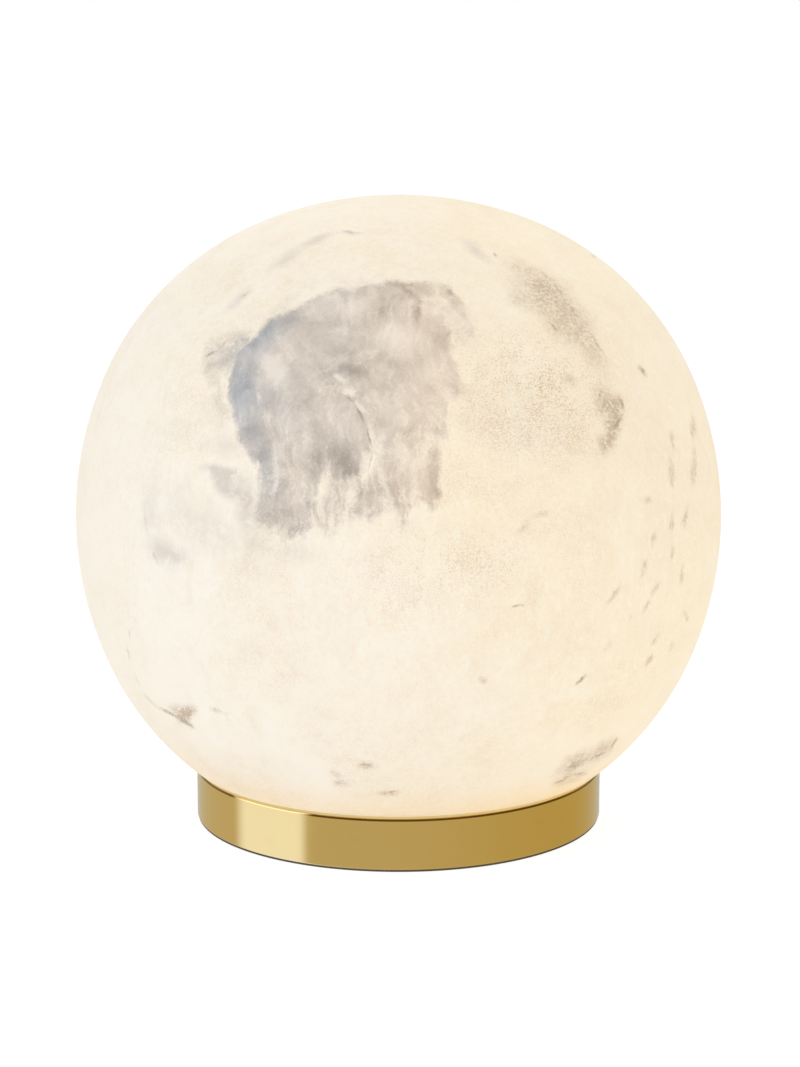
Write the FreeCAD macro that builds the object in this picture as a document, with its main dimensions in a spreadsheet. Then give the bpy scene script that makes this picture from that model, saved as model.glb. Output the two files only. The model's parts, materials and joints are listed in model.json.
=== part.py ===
"""Rechargeable table lamp: a hollow stone globe on a low brass ring that holds its light and charger.

Millimetres. The origin is at the centre of the foot, +Z is up and +Y is the rear, where the
charging port and the button are.
"""
import FreeCAD, Part
import math
import os

import Sketcher

Vector = FreeCAD.Vector
Placement = FreeCAD.Placement
Rotation = FreeCAD.Rotation
UP = Vector(0, 0, 1)
SKETCH_UPRIGHT = Vector(0, 1, 0)

# Driving dimensions

SIZES = {
    # Stone globe: a ball a little squarer than a sphere, cut flat at the bottom
    "globe_radius": 100.0,
    "crown_dip": 0.7,
    "globe_wall": 7.0,
    "shoulder_inset_share": 0.08,
    "shoulder_radius_share": 0.905,
    "seat_overhang": 0.5,
    "lip_thick": 8.0,
    "lip_roll": 4.0,
    # Steel collar bonded in the bore of the globe
    "glue_gap": 0.2,
    "collar_wall": 3.5,
    "collar_drop": 3.6,
    "collar_grip": 6.0,
    "collar_chamfer": 0.6,
    # Brass band with its top flange
    "foot_thick": 0.6,
    "band_radius": 63.6,
    "band_height": 15.9,
    "band_wall": 2.2,
    "flange_thick": 3.5,
    "flange_width": 13.6,
    "bore_step": 0.3,
    "band_edge": 0.7,
    "band_foot_edge": 0.3,
    # Gasket and foot
    "gasket_thick": 0.7,
    "gasket_width": 6.0,
    "gasket_inset": 2.0,
    "foot_inset": 0.3,
    "foot_width": 13.7,
    # Bottom plate, its pillars and screws
    "plate_thick": 2.9,
    "plate_gap": 0.2,
    "pillar_pitch": 38.0,
    "pillar_clear_angle": 10.0,
    "pillar_flats": 5.5,
    "plate_screw_radius": 1.5,
    "plate_head_radius": 2.8,
    "plate_screw_length": 7.0,
    "screw_slack": 0.2,
    "socket_radius": 1.0,
    "socket_depth": 0.9,
    # Deck, its screws and magnets
    "deck_screw_angle": 45.0,
    "deck_thick": 2.0,
    "deck_gap": 0.4,
    "deck_screw_radius": 1.25,
    "deck_head_radius": 2.3,
    "deck_head_height": 1.5,
    "deck_screw_bite": 2.0,
    "magnet_radius": 2.5,
    "magnet_thick": 1.5,
    # Cells and their holders
    "cell_radius": 9.2,
    "cell_length": 65.0,
    "cell_edge": 0.8,
    "cell_gap": 0.4,
    "cell_nub_radius": 2.8,
    "cell_nub_rise": 0.6,
    "holder_thick": 2.5,
    "holder_seat": 1.0,
    "holder_gap": 0.3,
    "holder_lift": 0.3,
    "link_thick": 0.2,
    "link_width": 8.0,
    "link_end": 4.0,
    "tab_width": 2.6,
    "tab_reach": 17.6,
    "slot_slack": 1.0,
    "channel_slack": 0.3,
    "socket_slack": 0.1,
    # Stem
    "stem_bore": 20.8,
    "stem_wall": 1.6,
    "stem_flange_radius": 31.0,
    "stem_flange_thick": 2.0,
    "stem_screw_angle": 30.0,
    "stem_screw_radius": 1.5,
    "stem_head_radius": 2.7,
    "stem_head_height": 1.6,
    "stem_screw_length": 4.0,
    # Heat sink, light board and diffuser
    "sink_overhang": 6.6,
    "sink_thick": 6.0,
    "sink_spigot": 2.5,
    "sink_spigot_gap": 0.1,
    "sink_groove": 1.0,
    "sink_groove_depth": 3.0,
    "pad_thick": 0.3,
    "led_board_gap": 2.2,
    "led_board_thick": 1.2,
    "led_side": 2.8,
    "led_rise": 0.7,
    "led_edge": 5.0,
    "led_screw_angle": 30.0,
    "led_screw_radius": 1.0,
    "led_head_radius": 1.9,
    "led_head_height": 1.1,
    "led_screw_length": 5.0,
    "dome_bulge": 3.0,
    "dome_wall": 1.8,
    "dome_neck_inset": 3.0,
    "dome_neck_height": 4.0,
    "dome_lip": 1.2,
    "dome_lip_thick": 1.2,
    "ring_wall": 1.6,
    "ring_skirt": 1.5,
    "ring_gap": 0.1,
    # Main board
    "board_gap": 2.5,
    "board_thick": 1.6,
    "board_rise": 1.5,
    "board_span_angle": 100.0,
    "spacer_radius": 2.6,
    "spacer_inset_angle": 12.0,
    "board_screw_radius": 1.25,
    "board_head_radius": 2.2,
    "board_head_height": 1.2,
    "board_screw_length": 4.4,
    # Charging port
    "port_width": 8.9,
    "port_height": 3.2,
    "port_depth": 7.4,
    "port_wall": 0.3,
    "port_recess": 0.5,
    "tongue_width": 6.7,
    "tongue_thick": 0.7,
    "tongue_back": 2.0,
    "tongue_recess": 0.7,
    "tongue_slack": 0.05,
    "bezel_width": 12.4,
    "bezel_height": 5.2,
    "bezel_depth": 3.3,
    "bezel_slack": 0.1,
    "bezel_recess": 0.7,
    "port_slack": 0.15,
    # Button, its guide and its switch
    "button_angle": 24.0,
    "button_radius": 2.6,
    "button_proud": 0.9,
    "button_edge": 0.3,
    "button_slack": 0.15,
    "button_lip": 0.6,
    "button_lip_thick": 0.8,
    "guide_wall": 0.8,
    "guide_gap": 0.05,
    "guide_inset": 0.3,
    "guide_back": 0.5,
    "notch_slack": 0.6,
    "switch_width": 6.0,
    "switch_depth": 3.6,
    "switch_height": 3.5,
    "plunger_radius": 1.0,
    "plunger_reach": 1.6,
    "plunger_tail": 1.0,
    "plunger_slack": 0.2,
    "switch_travel": 0.6,
    # Status light
    "status_angle": 12.0,
    "pipe_radius": 1.0,
    "pipe_slack": 0.1,
    "pipe_head_radius": 1.8,
    "pipe_head_thick": 0.8,
    "status_width": 3.0,
    "status_depth": 1.6,
    "status_gap": 0.4,
    # Parts on the main board
    "controller_side": 5.0,
    "controller_rise": 1.0,
    "driver_width": 4.0,
    "driver_depth": 5.0,
    "inductor_radius": 3.4,
    "inductor_rise": 3.0,
    "capacitor_width": 1.6,
    "capacitor_depth": 3.2,
    "capacitor_rise": 1.4,
    "capacitor_gap": 1.2,
    "connector_width": 6.0,
    "connector_depth": 4.4,
    "connector_rise": 3.4,
    "connector_inset": 1.2,
    # Leads
    "lead_radius": 0.65,
    "lead_row": 16.2,
    "lead_centre": 4.4,
    "lead_gap": 2.2,
    "lead_bend": 2.4,
    "lead_slack": 0.15,
    "lead_end": 0.5,
    "lead_hole_radius": 2.0,
    # Shared
    "overrun": 2.0,
}

document = FreeCAD.newDocument("table_lamp")
sheet = document.addObject("Spreadsheet::Sheet", "dims")


class Size:
    """A length or angle together with the formula that gives it from the sheet."""

    def __init__(self, value, formula):
        self.value = value
        self.formula = formula

    def __add__(self, other):
        other = as_size(other)
        return Size(self.value + other.value, f"({self.formula} + {other.formula})")

    def __sub__(self, other):
        other = as_size(other)
        return Size(self.value - other.value, f"({self.formula} - {other.formula})")

    def __mul__(self, other):
        other = as_size(other)
        return Size(self.value * other.value, f"({self.formula} * {other.formula})")

    def __truediv__(self, other):
        other = as_size(other)
        return Size(self.value / other.value, f"({self.formula} / {other.formula})")

    def __neg__(self):
        return Size(-self.value, f"(0 - {self.formula})")

    def __rmul__(self, other):
        return as_size(other) * self


def as_size(value):
    return value if isinstance(value, Size) else Size(float(value), str(value))


def root(size):
    return Size(math.sqrt(size.value), f"sqrt({size.formula})")


def sine(angle):
    return Size(math.sin(math.radians(angle.value)), f"sin({angle.formula} * 1 deg)")


def cosine(angle):
    return Size(math.cos(math.radians(angle.value)), f"cos({angle.formula} * 1 deg)")


class Dims:
    """The sheet's sizes by name."""


dims = Dims()
for row, (alias, value) in enumerate(SIZES.items(), start=1):
    cell = f"A{row}"
    sheet.set(cell, str(value))
    sheet.setAlias(cell, alias)
document.recompute()
for alias in SIZES:
    setattr(dims, alias, Size(float(sheet.get(alias)), f"dims.{alias}"))

NONE = as_size(0)
FULL_TURN = 360


# Modelling helpers


def bind(thing, name, size):
    """Set a property of a feature from a size and keep it tied to the sheet."""
    thing.setExpression(name, as_size(size).formula)


def new_body(label):
    body = document.addObject("PartDesign::Body", label)
    body.Label = label
    body.AllowCompound = True
    return body


def origin_part(body, role):
    return next(item for item in body.Origin.OriginFeatures if item.Role == role)


def new_sketch(body, role, lift=NONE, turn=NONE, about=UP):
    """A sketch on an origin plane of its body, lifted off it and turned about one of its own axes."""
    sketch = body.newObject("Sketcher::SketchObject", body.Label + "_sketch")
    sketch.AttachmentSupport = [(origin_part(body, role), "")]
    sketch.MapMode = "FlatFace"
    sketch.AttachmentOffset = Placement(Vector(0, 0, lift.value), Rotation(about, turn.value))
    bind(sketch, "AttachmentOffset.Base.z", lift)
    if turn is not NONE:
        bind(sketch, "AttachmentOffset.Rotation.Angle", turn)
    return sketch


def fix_number(sketch, kind, geometry, end, size):
    """Tie one coordinate of a point of a sketch to a size."""
    index = sketch.addConstraint(Sketcher.Constraint(kind, geometry, end, size.value))
    name = f"{kind}_{index}"
    sketch.renameConstraint(index, name)
    bind(sketch, f"Constraints.{name}", size)


def fix_point(sketch, geometry, end, point):
    """Tie one point of a sketch to a pair of sizes."""
    for kind, size in zip(("DistanceX", "DistanceY"), point):
        fix_number(sketch, kind, geometry, end, size)


def fix_radius(sketch, geometry, size):
    index = sketch.addConstraint(Sketcher.Constraint("Radius", geometry, size.value))
    name = f"radius_{geometry}"
    sketch.renameConstraint(index, name)
    bind(sketch, f"Constraints.{name}", size)


def arc_between(start, end, radius):
    """An arc from start to end: a positive radius turns left, a negative one turns right."""
    first, last = (start, end) if radius > 0 else (end, start)
    chord = last - first
    half = chord.Length / 2
    rise = math.sqrt(radius * radius - half * half)
    side = Vector(-chord.y, chord.x, 0).normalize()
    centre = (first + last) / 2 + side * rise
    circle = Part.Circle(centre, UP, abs(radius))
    return Part.ArcOfCircle(circle, circle.parameter(first), circle.parameter(last))


def draw_outline(sketch, points, arcs=None):
    """Draw a closed outline through points. arcs gives the radius of the sides that are round."""
    arcs = arcs or {}
    places = [Vector(x.value, y.value, 0) for x, y in points]
    sides = []
    for index, place in enumerate(places):
        following = places[(index + 1) % len(places)]
        radius = arcs.get(index)
        if radius is None:
            sides.append((sketch.addGeometry(Part.LineSegment(place, following)), 1, 2))
            continue
        geometry = sketch.addGeometry(arc_between(place, following, radius.value))
        start, end = (1, 2) if radius.value > 0 else (2, 1)
        sides.append((geometry, start, end))
        fix_radius(sketch, geometry, radius if radius.value > 0 else -radius)
    for index, (geometry, start, end) in enumerate(sides):
        following, next_start, _ = sides[(index + 1) % len(sides)]
        sketch.addConstraint(Sketcher.Constraint("Coincident", geometry, end, following, next_start))
        fix_point(sketch, geometry, start, points[index])


def draw_circle(sketch, centre, radius):
    place = Vector(centre[0].value, centre[1].value, 0)
    geometry = sketch.addGeometry(Part.Circle(place, UP, radius.value))
    fix_point(sketch, geometry, 3, centre)
    fix_radius(sketch, geometry, radius)


def draw_slot(sketch, width, height, centre_y=NONE):
    """A slot with round ends, centred on the sketch's vertical axis."""
    half_run = (width - height) / 2
    low = centre_y - height / 2
    high = centre_y + height / 2
    points = [(-half_run, low), (half_run, low), (half_run, high), (-half_run, high)]
    places = [Vector(x.value, y.value, 0) for x, y in points]
    sides = [
        sketch.addGeometry(Part.LineSegment(places[0], places[1])),
        sketch.addGeometry(half_turn(places[1], places[2])),
        sketch.addGeometry(Part.LineSegment(places[2], places[3])),
        sketch.addGeometry(half_turn(places[3], places[0])),
    ]
    for index, side in enumerate(sides):
        sketch.addConstraint(Sketcher.Constraint("Coincident", side, 2, sides[(index + 1) % len(sides)], 1))
        fix_point(sketch, side, 1, points[index])
    fix_number(sketch, "DistanceX", sides[1], 3, half_run)
    fix_number(sketch, "DistanceX", sides[3], 3, -half_run)


def half_turn(start, end):
    centre = (start + end) / 2
    circle = Part.Circle(centre, UP, (end - start).Length / 2)
    return Part.ArcOfCircle(circle, circle.parameter(start), circle.parameter(end))


def draw_axis(sketch, offset):
    """An upright construction line to turn something round."""
    far = dims.overrun
    line = sketch.addGeometry(
        Part.LineSegment(Vector(offset.value, 0, 0), Vector(offset.value, far.value, 0)), True)
    fix_point(sketch, line, 1, (offset, NONE))
    fix_point(sketch, line, 2, (offset, far))


def turn_sketch(body, sketch, cut=False, axis="V_Axis"):
    kind = "PartDesign::Groove" if cut else "PartDesign::Revolution"
    feature = body.newObject(kind, body.Label + "_turned")
    feature.Profile = sketch
    feature.ReferenceAxis = (sketch, [axis])
    feature.Angle = FULL_TURN
    return finish_feature(body, feature, cut)


def raise_sketch(body, sketch, length, cut=False, reverse=False):
    kind = "PartDesign::Pocket" if cut else "PartDesign::Pad"
    feature = body.newObject(kind, body.Label + "_raised")
    feature.Profile = sketch
    feature.Length = length.value
    feature.Reversed = reverse
    bind(feature, "Length", length)
    return finish_feature(body, feature, cut)


def finish_feature(body, feature, cut):
    """Recompute, and make sure that a cut takes material away."""
    before = feature.BaseFeature.Shape.Volume if feature.BaseFeature else 0
    document.recompute()
    if cut and feature.Shape.Volume >= before:
        raise RuntimeError(f"{body.Label}: {feature.Name} cuts nothing")
    return feature


def repeat_round(body, feature, count, span=None):
    """Repeat a feature round the upright axis: all the way round, or over a span."""
    pattern = body.newObject("PartDesign::PolarPattern", body.Label + "_pattern")
    pattern.Originals = [feature]
    pattern.Axis = (origin_part(body, "Z_Axis"), [""])
    pattern.Occurrences = count
    pattern.Angle = FULL_TURN
    if span is not None:
        pattern.Angle = span.value
        bind(pattern, "Angle", span)
    body.Tip = pattern
    document.recompute()
    return pattern


def round_edges(body, feature, radius, edge_radius, height):
    """Fillet the circular edges of a given radius at a given height."""
    document.recompute()
    near = FreeCAD.Base.Precision.confusion()
    names = []
    for index, edge in enumerate(feature.Shape.Edges, start=1):
        box = edge.BoundBox
        flat = box.ZLength < near and abs(box.ZMax - height.value) < near
        if flat and abs(box.XMax - edge_radius.value) < near:
            names.append(f"Edge{index}")
    fillet = body.newObject("PartDesign::Fillet", body.Label + "_edge")
    fillet.Base = (feature, names)
    fillet.Radius = radius.value
    bind(fillet, "Radius", radius)
    document.recompute()
    return fillet


def turned(label, points, arcs=None):
    """A sub-part turned round the upright axis from its outline in radius and height."""
    body = new_body(label)
    sketch = new_sketch(body, "XZ_Plane")
    draw_outline(sketch, points, arcs)
    turn_sketch(body, sketch)
    return body


def turned_off_axis(body, points, pitch, cut=False, turn=NONE):
    """Turn an outline round an upright line at a pitch radius, turned away from the +X side."""
    sketch = new_sketch(body, "XZ_Plane", NONE, turn, SKETCH_UPRIGHT)
    draw_outline(sketch, [(pitch + radius, height) for radius, height in points])
    draw_axis(sketch, pitch)
    return turn_sketch(body, sketch, cut, "Axis0")


def turned_radially(body, points, height, angle, cut=False, arcs=None):
    """Turn an outline of radius and reach round a level line that points out from the lamp's axis."""
    sketch = new_sketch(body, "XY_Plane", height, -angle)
    draw_outline(sketch, points, arcs)
    return turn_sketch(body, sketch, cut)


def ring(inner, outer, low, high):
    return [(inner, low), (outer, low), (outer, high), (inner, high)]


def rectangle(width, low_y, high_y, centre_x=NONE):
    half = width / 2
    return [(centre_x - half, low_y), (centre_x + half, low_y),
            (centre_x + half, high_y), (centre_x - half, high_y)]


def slab(label, outlines, bottom, height, angle=NONE):
    """A sub-part raised from level outlines. angle swings it round the lamp's axis."""
    body = new_body(label)
    sketch = new_sketch(body, "XY_Plane", bottom, -angle)
    for outline in outlines:
        draw_outline(sketch, outline)
    raise_sketch(body, sketch, height)
    return body


def fasteners(label, points, pitch, count, start=NONE, span=None):
    """Identical turned pieces at even steps round the lamp's axis."""
    body = new_body(label)
    feature = turned_off_axis(body, points, pitch, turn=start)
    repeat_round(body, feature, count, span)
    return body


def cut_bores(body, points, pitch, count, start=NONE, span=None):
    """Identical turned holes at even steps round the lamp's axis."""
    feature = turned_off_axis(body, points, pitch, cut=True, turn=start)
    repeat_round(body, feature, count, span)


def cut_outlines(body, outlines, bottom, height, angle=NONE):
    """Cut level outlines out of a sub-part, from a height upwards."""
    sketch = new_sketch(body, "XY_Plane", bottom, -angle)
    for outline in outlines:
        draw_outline(sketch, outline)
    raise_sketch(body, sketch, height, cut=True, reverse=True)


def cut_circle(body, x, y, radius, bottom, height):
    sketch = new_sketch(body, "XY_Plane", bottom)
    draw_circle(sketch, (x, y), radius)
    raise_sketch(body, sketch, height, cut=True, reverse=True)


# Heights and radii that the pieces share

band_low = dims.foot_thick
band_top = band_low + dims.band_height
band_bore = dims.band_radius - dims.band_wall
flange_low = band_top - dims.flange_thick
flange_bore = dims.band_radius - dims.flange_width
globe_floor = band_top + dims.gasket_thick
globe_bore = flange_bore - dims.bore_step
collar_outer = globe_bore - dims.glue_gap
collar_inner = collar_outer - dims.collar_wall
plate_top = band_low + dims.plate_thick
deck_low = flange_low - dims.deck_thick
deck_radius = band_bore - dims.deck_gap
stem_outer = dims.stem_bore + dims.stem_wall
holder_low = plate_top + dims.holder_lift
cell_low = holder_low + dims.holder_thick - dims.holder_seat
cell_high = cell_low + dims.cell_length
holder_top_low = cell_high - dims.holder_seat
holder_top_high = holder_top_low + dims.holder_thick
sink_low = holder_top_high + dims.holder_gap + dims.sink_spigot
sink_high = sink_low + dims.sink_thick
sink_radius = stem_outer + dims.sink_overhang
dome_neck = sink_radius - dims.dome_neck_inset
led_board_radius = dome_neck - dims.dome_wall - dims.led_board_gap
led_pitch = led_board_radius - dims.led_edge
led_inner_pitch = led_pitch / 2
led_screw_pitch = (led_pitch + led_inner_pitch) / 2
pad_high = sink_high + dims.pad_thick
led_board_high = pad_high + dims.led_board_thick
board_low = plate_top + dims.board_rise
board_high = board_low + dims.board_thick
board_inner = stem_outer + dims.board_gap
board_outer = band_bore - dims.board_gap
port_axis = board_high + dims.port_height / 2
button_axis = board_high + dims.switch_height / 2


# Stone globe and its collar


def globe_outline():
    """The wall of the globe: crown, shoulder, side and lower shoulder, outside and then inside."""
    inset = dims.shoulder_inset_share * dims.globe_radius
    shoulder = dims.shoulder_radius_share * dims.globe_radius
    lift = inset - dims.crown_dip
    spare = dims.globe_radius - shoulder
    reach = (inset * inset + lift * lift - spare * spare) / (2 * (spare - inset))
    crown_spare = spare - dims.crown_dip
    drop = (inset * inset + lift * lift - crown_spare * crown_spare) / (2 * (crown_spare - lift))
    side = dims.globe_radius + reach
    crown = dims.globe_radius - dims.crown_dip + drop
    seat = dims.band_radius + dims.seat_overhang - inset
    centre = globe_floor + lift + root(shoulder * shoulder - seat * seat)
    low_centre = centre - lift

    def side_point(wall, up):
        share = (side - wall) / (side - shoulder)
        height = lift * share
        return ((inset + reach) * share - reach, centre + height if up else centre - height)

    def crown_point(wall):
        share = (crown - wall) / (crown - shoulder)
        return (inset * share, centre - drop + (lift + drop) * share)

    roll = dims.lip_roll
    roll_height = globe_floor + roll
    below = low_centre - roll_height
    roll_centre = inset + root((shoulder - roll) * (shoulder - roll) - below * below)
    roll_share = shoulder / (shoulder - roll)
    roll_end = (inset + (roll_centre - inset) * roll_share, low_centre - below * roll_share)
    wall = dims.globe_wall
    lip_high = globe_floor + dims.lip_thick
    inner = shoulder - wall
    lip_below = low_centre - lip_high
    lip_reach = inset + root(inner * inner - lip_below * lip_below)
    points = [
        (NONE, centre - drop + crown),
        crown_point(NONE),
        side_point(NONE, True),
        side_point(NONE, False),
        roll_end,
        (roll_centre, globe_floor),
        (globe_bore, globe_floor),
        (globe_bore, lip_high),
        (lip_reach, lip_high),
        side_point(wall, False),
        side_point(wall, True),
        crown_point(wall),
        (NONE, centre - drop + crown - wall),
    ]
    arcs = {0: -crown, 1: -shoulder, 2: -side, 3: -shoulder, 4: -roll,
            8: inner, 9: side - wall, 10: inner, 11: crown - wall}
    return points, arcs


alabaster_globe = turned("alabaster_globe", *globe_outline())


def collar_outline():
    low = globe_floor - dims.collar_drop
    high = globe_floor + dims.collar_grip
    edge = dims.collar_chamfer
    return [(collar_inner, low), (collar_outer - edge, low), (collar_outer, low + edge),
            (collar_outer, high), (collar_inner, high)]


globe_collar = turned("globe_collar", collar_outline())


# Brass band

DECK_SCREWS = 4
deck_screw_pitch = (flange_bore + band_bore) / 2
deck_screw_high = flange_low + dims.deck_screw_bite
guide_outer = dims.button_radius + dims.button_slack + dims.guide_wall
through_wall = [band_bore - dims.overrun, dims.band_radius + dims.overrun]


def band():
    body = turned("base_band", [
        (band_bore, band_low), (dims.band_radius, band_low), (dims.band_radius, band_top),
        (flange_bore, band_top), (flange_bore, flange_low), (band_bore, flange_low)])
    round_edges(body, body.Tip, dims.band_edge, dims.band_radius, band_top)
    round_edges(body, body.Tip, dims.band_foot_edge, dims.band_radius, band_low)
    tapped = ring(NONE, dims.deck_screw_radius, deck_low, deck_screw_high)
    cut_bores(body, tapped, deck_screw_pitch, DECK_SCREWS, dims.deck_screw_angle)
    slot = new_sketch(body, "XZ_Plane", -through_wall[0])
    width = dims.bezel_width + 2 * dims.bezel_slack
    height = dims.bezel_height + 2 * dims.bezel_slack
    draw_slot(slot, width, height, port_axis)
    raise_sketch(body, slot, through_wall[1] - through_wall[0], cut=True)
    guide_hole = ring(NONE, guide_outer + dims.guide_gap, *through_wall)
    turned_radially(body, guide_hole, button_axis, dims.button_angle, cut=True)
    pipe_hole = ring(NONE, dims.pipe_radius + dims.pipe_slack, *through_wall)
    turned_radially(body, pipe_hole, port_axis, dims.status_angle, cut=True)
    return body


base_band = band()

gasket_inner = flange_bore + dims.gasket_inset
gasket_outer = gasket_inner + dims.gasket_width
seat_gasket = turned("seat_gasket", ring(gasket_inner, gasket_outer, band_top, globe_floor))

foot_outer = dims.band_radius - dims.foot_inset
foot_ring = turned("foot_ring", ring(foot_outer - dims.foot_width, foot_outer, NONE, band_low))


# Bottom plate, with its pillars and screws

REAR_PILLARS = 2
BACK = as_size(90)
rear_pillar_span = dims.board_span_angle + 2 * dims.pillar_clear_angle
rear_pillar_start = BACK - rear_pillar_span / 2


def plate_screw_outline():
    head_high = band_low + dims.plate_head_radius - dims.plate_screw_radius
    high = band_low + dims.plate_screw_length
    return [(NONE, band_low + dims.socket_depth), (dims.socket_radius, band_low + dims.socket_depth),
            (dims.socket_radius, band_low), (dims.plate_head_radius, band_low),
            (dims.plate_screw_radius, head_high), (dims.plate_screw_radius, high), (NONE, high)]


def plate_hole_outline():
    slack = dims.screw_slack
    head = dims.plate_head_radius + slack
    shank = dims.plate_screw_radius + slack
    return [(NONE, band_low), (head, band_low), (shank, band_low + head - shank),
            (shank, plate_top), (NONE, plate_top)]


def bottom_plate():
    body = turned("base_plate", [(NONE, band_low), (band_bore - dims.plate_gap, band_low),
                                 (band_bore - dims.plate_gap, plate_top), (NONE, plate_top)])
    hole = plate_hole_outline()
    turned_off_axis(body, hole, dims.pillar_pitch, cut=True, turn=-BACK)
    cut_bores(body, hole, dims.pillar_pitch, REAR_PILLARS, rear_pillar_start, rear_pillar_span)
    return body


def pillar(body, start):
    """A six-sided pillar with a bore for its screw."""
    sketch = new_sketch(body, "XY_Plane", plate_top, start)
    flat = dims.pillar_flats / 2
    corner = dims.pillar_flats / root(as_size(3))
    pitch = dims.pillar_pitch
    draw_outline(sketch, [(pitch + flat, -corner / 2), (pitch + flat, corner / 2), (pitch, corner),
                          (pitch - flat, corner / 2), (pitch - flat, -corner / 2), (pitch, -corner)])
    draw_circle(sketch, (pitch, NONE), dims.plate_screw_radius)
    return raise_sketch(body, sketch, deck_low - plate_top)


def pillars():
    """One pillar at the front, and one beyond each end of the main board."""
    body = new_body("plate_pillars")
    pillar(body, -BACK)
    repeat_round(body, pillar(body, rear_pillar_start), REAR_PILLARS, rear_pillar_span)
    return body


def bottom_screws():
    body = new_body("plate_screws")
    outline = plate_screw_outline()
    turned_off_axis(body, outline, dims.pillar_pitch, turn=-BACK)
    feature = turned_off_axis(body, outline, dims.pillar_pitch, turn=rear_pillar_start)
    repeat_round(body, feature, REAR_PILLARS, rear_pillar_span)
    return body


base_plate = bottom_plate()
plate_pillars = pillars()
plate_screws = bottom_screws()


# Deck, with its screws and magnets

MAGNETS = 4
magnet_pitch = (collar_inner + collar_outer) / 2
STEM_SCREWS = 3
stem_screw_pitch = (stem_outer + dims.stem_flange_radius) / 2
stem_flange_high = flange_low + dims.stem_flange_thick
button_lip_radius = dims.button_radius + dims.button_lip
guide_back = band_bore - dims.guide_back
button_back = guide_back - dims.button_lip_thick


def deck():
    body = turned("deck_plate", ring(dims.stem_bore, deck_radius, deck_low, flange_low))
    slack = dims.screw_slack
    cut_bores(body, ring(NONE, dims.deck_screw_radius + slack, deck_low, flange_low),
              deck_screw_pitch, DECK_SCREWS, dims.deck_screw_angle)
    cut_bores(body, ring(NONE, dims.stem_screw_radius, deck_low, flange_low),
              stem_screw_pitch, STEM_SCREWS, dims.stem_screw_angle)
    pocket_radius = dims.magnet_radius + dims.glue_gap / 2
    cut_bores(body, ring(NONE, pocket_radius, flange_low - dims.magnet_thick, flange_low),
              magnet_pitch, MAGNETS)
    notch = rectangle(2 * (button_lip_radius + dims.notch_slack),
                      button_back - dims.switch_travel - dims.notch_slack, deck_radius + dims.overrun)
    cut_outlines(body, [notch], deck_low, dims.deck_thick, dims.button_angle)
    return body


def pan_screw(head_radius, head_height, radius, seat, length):
    """A screw that hangs under its seat when length is up, with its head below."""
    return [(NONE, seat - head_height), (head_radius, seat - head_height), (head_radius, seat),
            (radius, seat), (radius, seat + length), (NONE, seat + length)]


def hanging_screw(head_radius, head_height, radius, seat, length):
    """A screw with its head above the seat and its shank below."""
    return [(NONE, seat - length), (radius, seat - length), (radius, seat), (head_radius, seat),
            (head_radius, seat + head_height), (NONE, seat + head_height)]


deck_plate = deck()
deck_screws = fasteners(
    "deck_screws",
    pan_screw(dims.deck_head_radius, dims.deck_head_height, dims.deck_screw_radius, deck_low,
              deck_screw_high - deck_low),
    deck_screw_pitch, DECK_SCREWS, dims.deck_screw_angle)
retention_magnets = fasteners(
    "retention_magnets", ring(NONE, dims.magnet_radius, flange_low - dims.magnet_thick, flange_low),
    magnet_pitch, MAGNETS)


# Stem, cells and their holders

cell_offset = dims.cell_radius + dims.cell_gap / 2
lead_offset = dims.lead_gap / 2
tab_x = dims.lead_centre - lead_offset
low_tab_x = dims.lead_centre + lead_offset
holder_radius = dims.stem_bore - dims.holder_gap


def stem():
    body = turned("stem_tube", [
        (dims.stem_bore, flange_low), (dims.stem_flange_radius, flange_low),
        (dims.stem_flange_radius, stem_flange_high), (stem_outer, stem_flange_high),
        (stem_outer, sink_low), (dims.stem_bore, sink_low)])
    cut_bores(body, ring(NONE, dims.stem_screw_radius + dims.screw_slack, flange_low, stem_flange_high),
              stem_screw_pitch, STEM_SCREWS, dims.stem_screw_angle)
    return body


def cell(label, offset):
    radius = dims.cell_radius
    edge = dims.cell_edge
    nub_high = cell_high + dims.cell_nub_rise
    body = turned(label, [
        (NONE, cell_low), (radius - edge, cell_low), (radius, cell_low + edge), (radius, cell_high - edge),
        (radius - edge, cell_high), (dims.cell_nub_radius, cell_high), (dims.cell_nub_radius, nub_high),
        (NONE, nub_high)])
    bind(body, "Placement.Base.x", offset)
    return body


def cell_holder(label, low, seat_low, channel_x):
    """A plastic disc with a seat for each cell, a slot for the link and a channel for its tab."""
    body = turned(label, [(NONE, low), (holder_radius, low), (holder_radius, low + dims.holder_thick),
                          (NONE, low + dims.holder_thick)])
    seat_radius = dims.cell_radius + dims.socket_slack
    for side in (-1, 1):
        cut_circle(body, side * cell_offset, NONE, seat_radius, seat_low, dims.holder_seat)
    half_slot = dims.link_width / 2 + dims.slot_slack
    slot = rectangle(2 * (cell_offset + dims.link_end + dims.slot_slack), -half_slot, half_slot)
    cut_outlines(body, [slot], low, dims.holder_thick)
    channel = rectangle(dims.tab_width + 2 * dims.channel_slack, NONE, dims.tab_reach + dims.channel_slack,
                        channel_x)
    cut_outlines(body, [channel], low, dims.holder_thick)
    return body


def top_holder():
    """The upper holder also has a notch that the leads of the light pass through."""
    body = cell_holder("holder_top", holder_top_low, holder_top_low, tab_x)
    width = dims.lead_gap + 2 * dims.lead_radius + 2 * dims.channel_slack
    notch = rectangle(width, dims.lead_row - dims.lead_radius - dims.channel_slack,
                      holder_radius + dims.overrun, -dims.lead_centre)
    cut_outlines(body, [notch], holder_top_low, dims.holder_thick)
    return body


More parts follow.
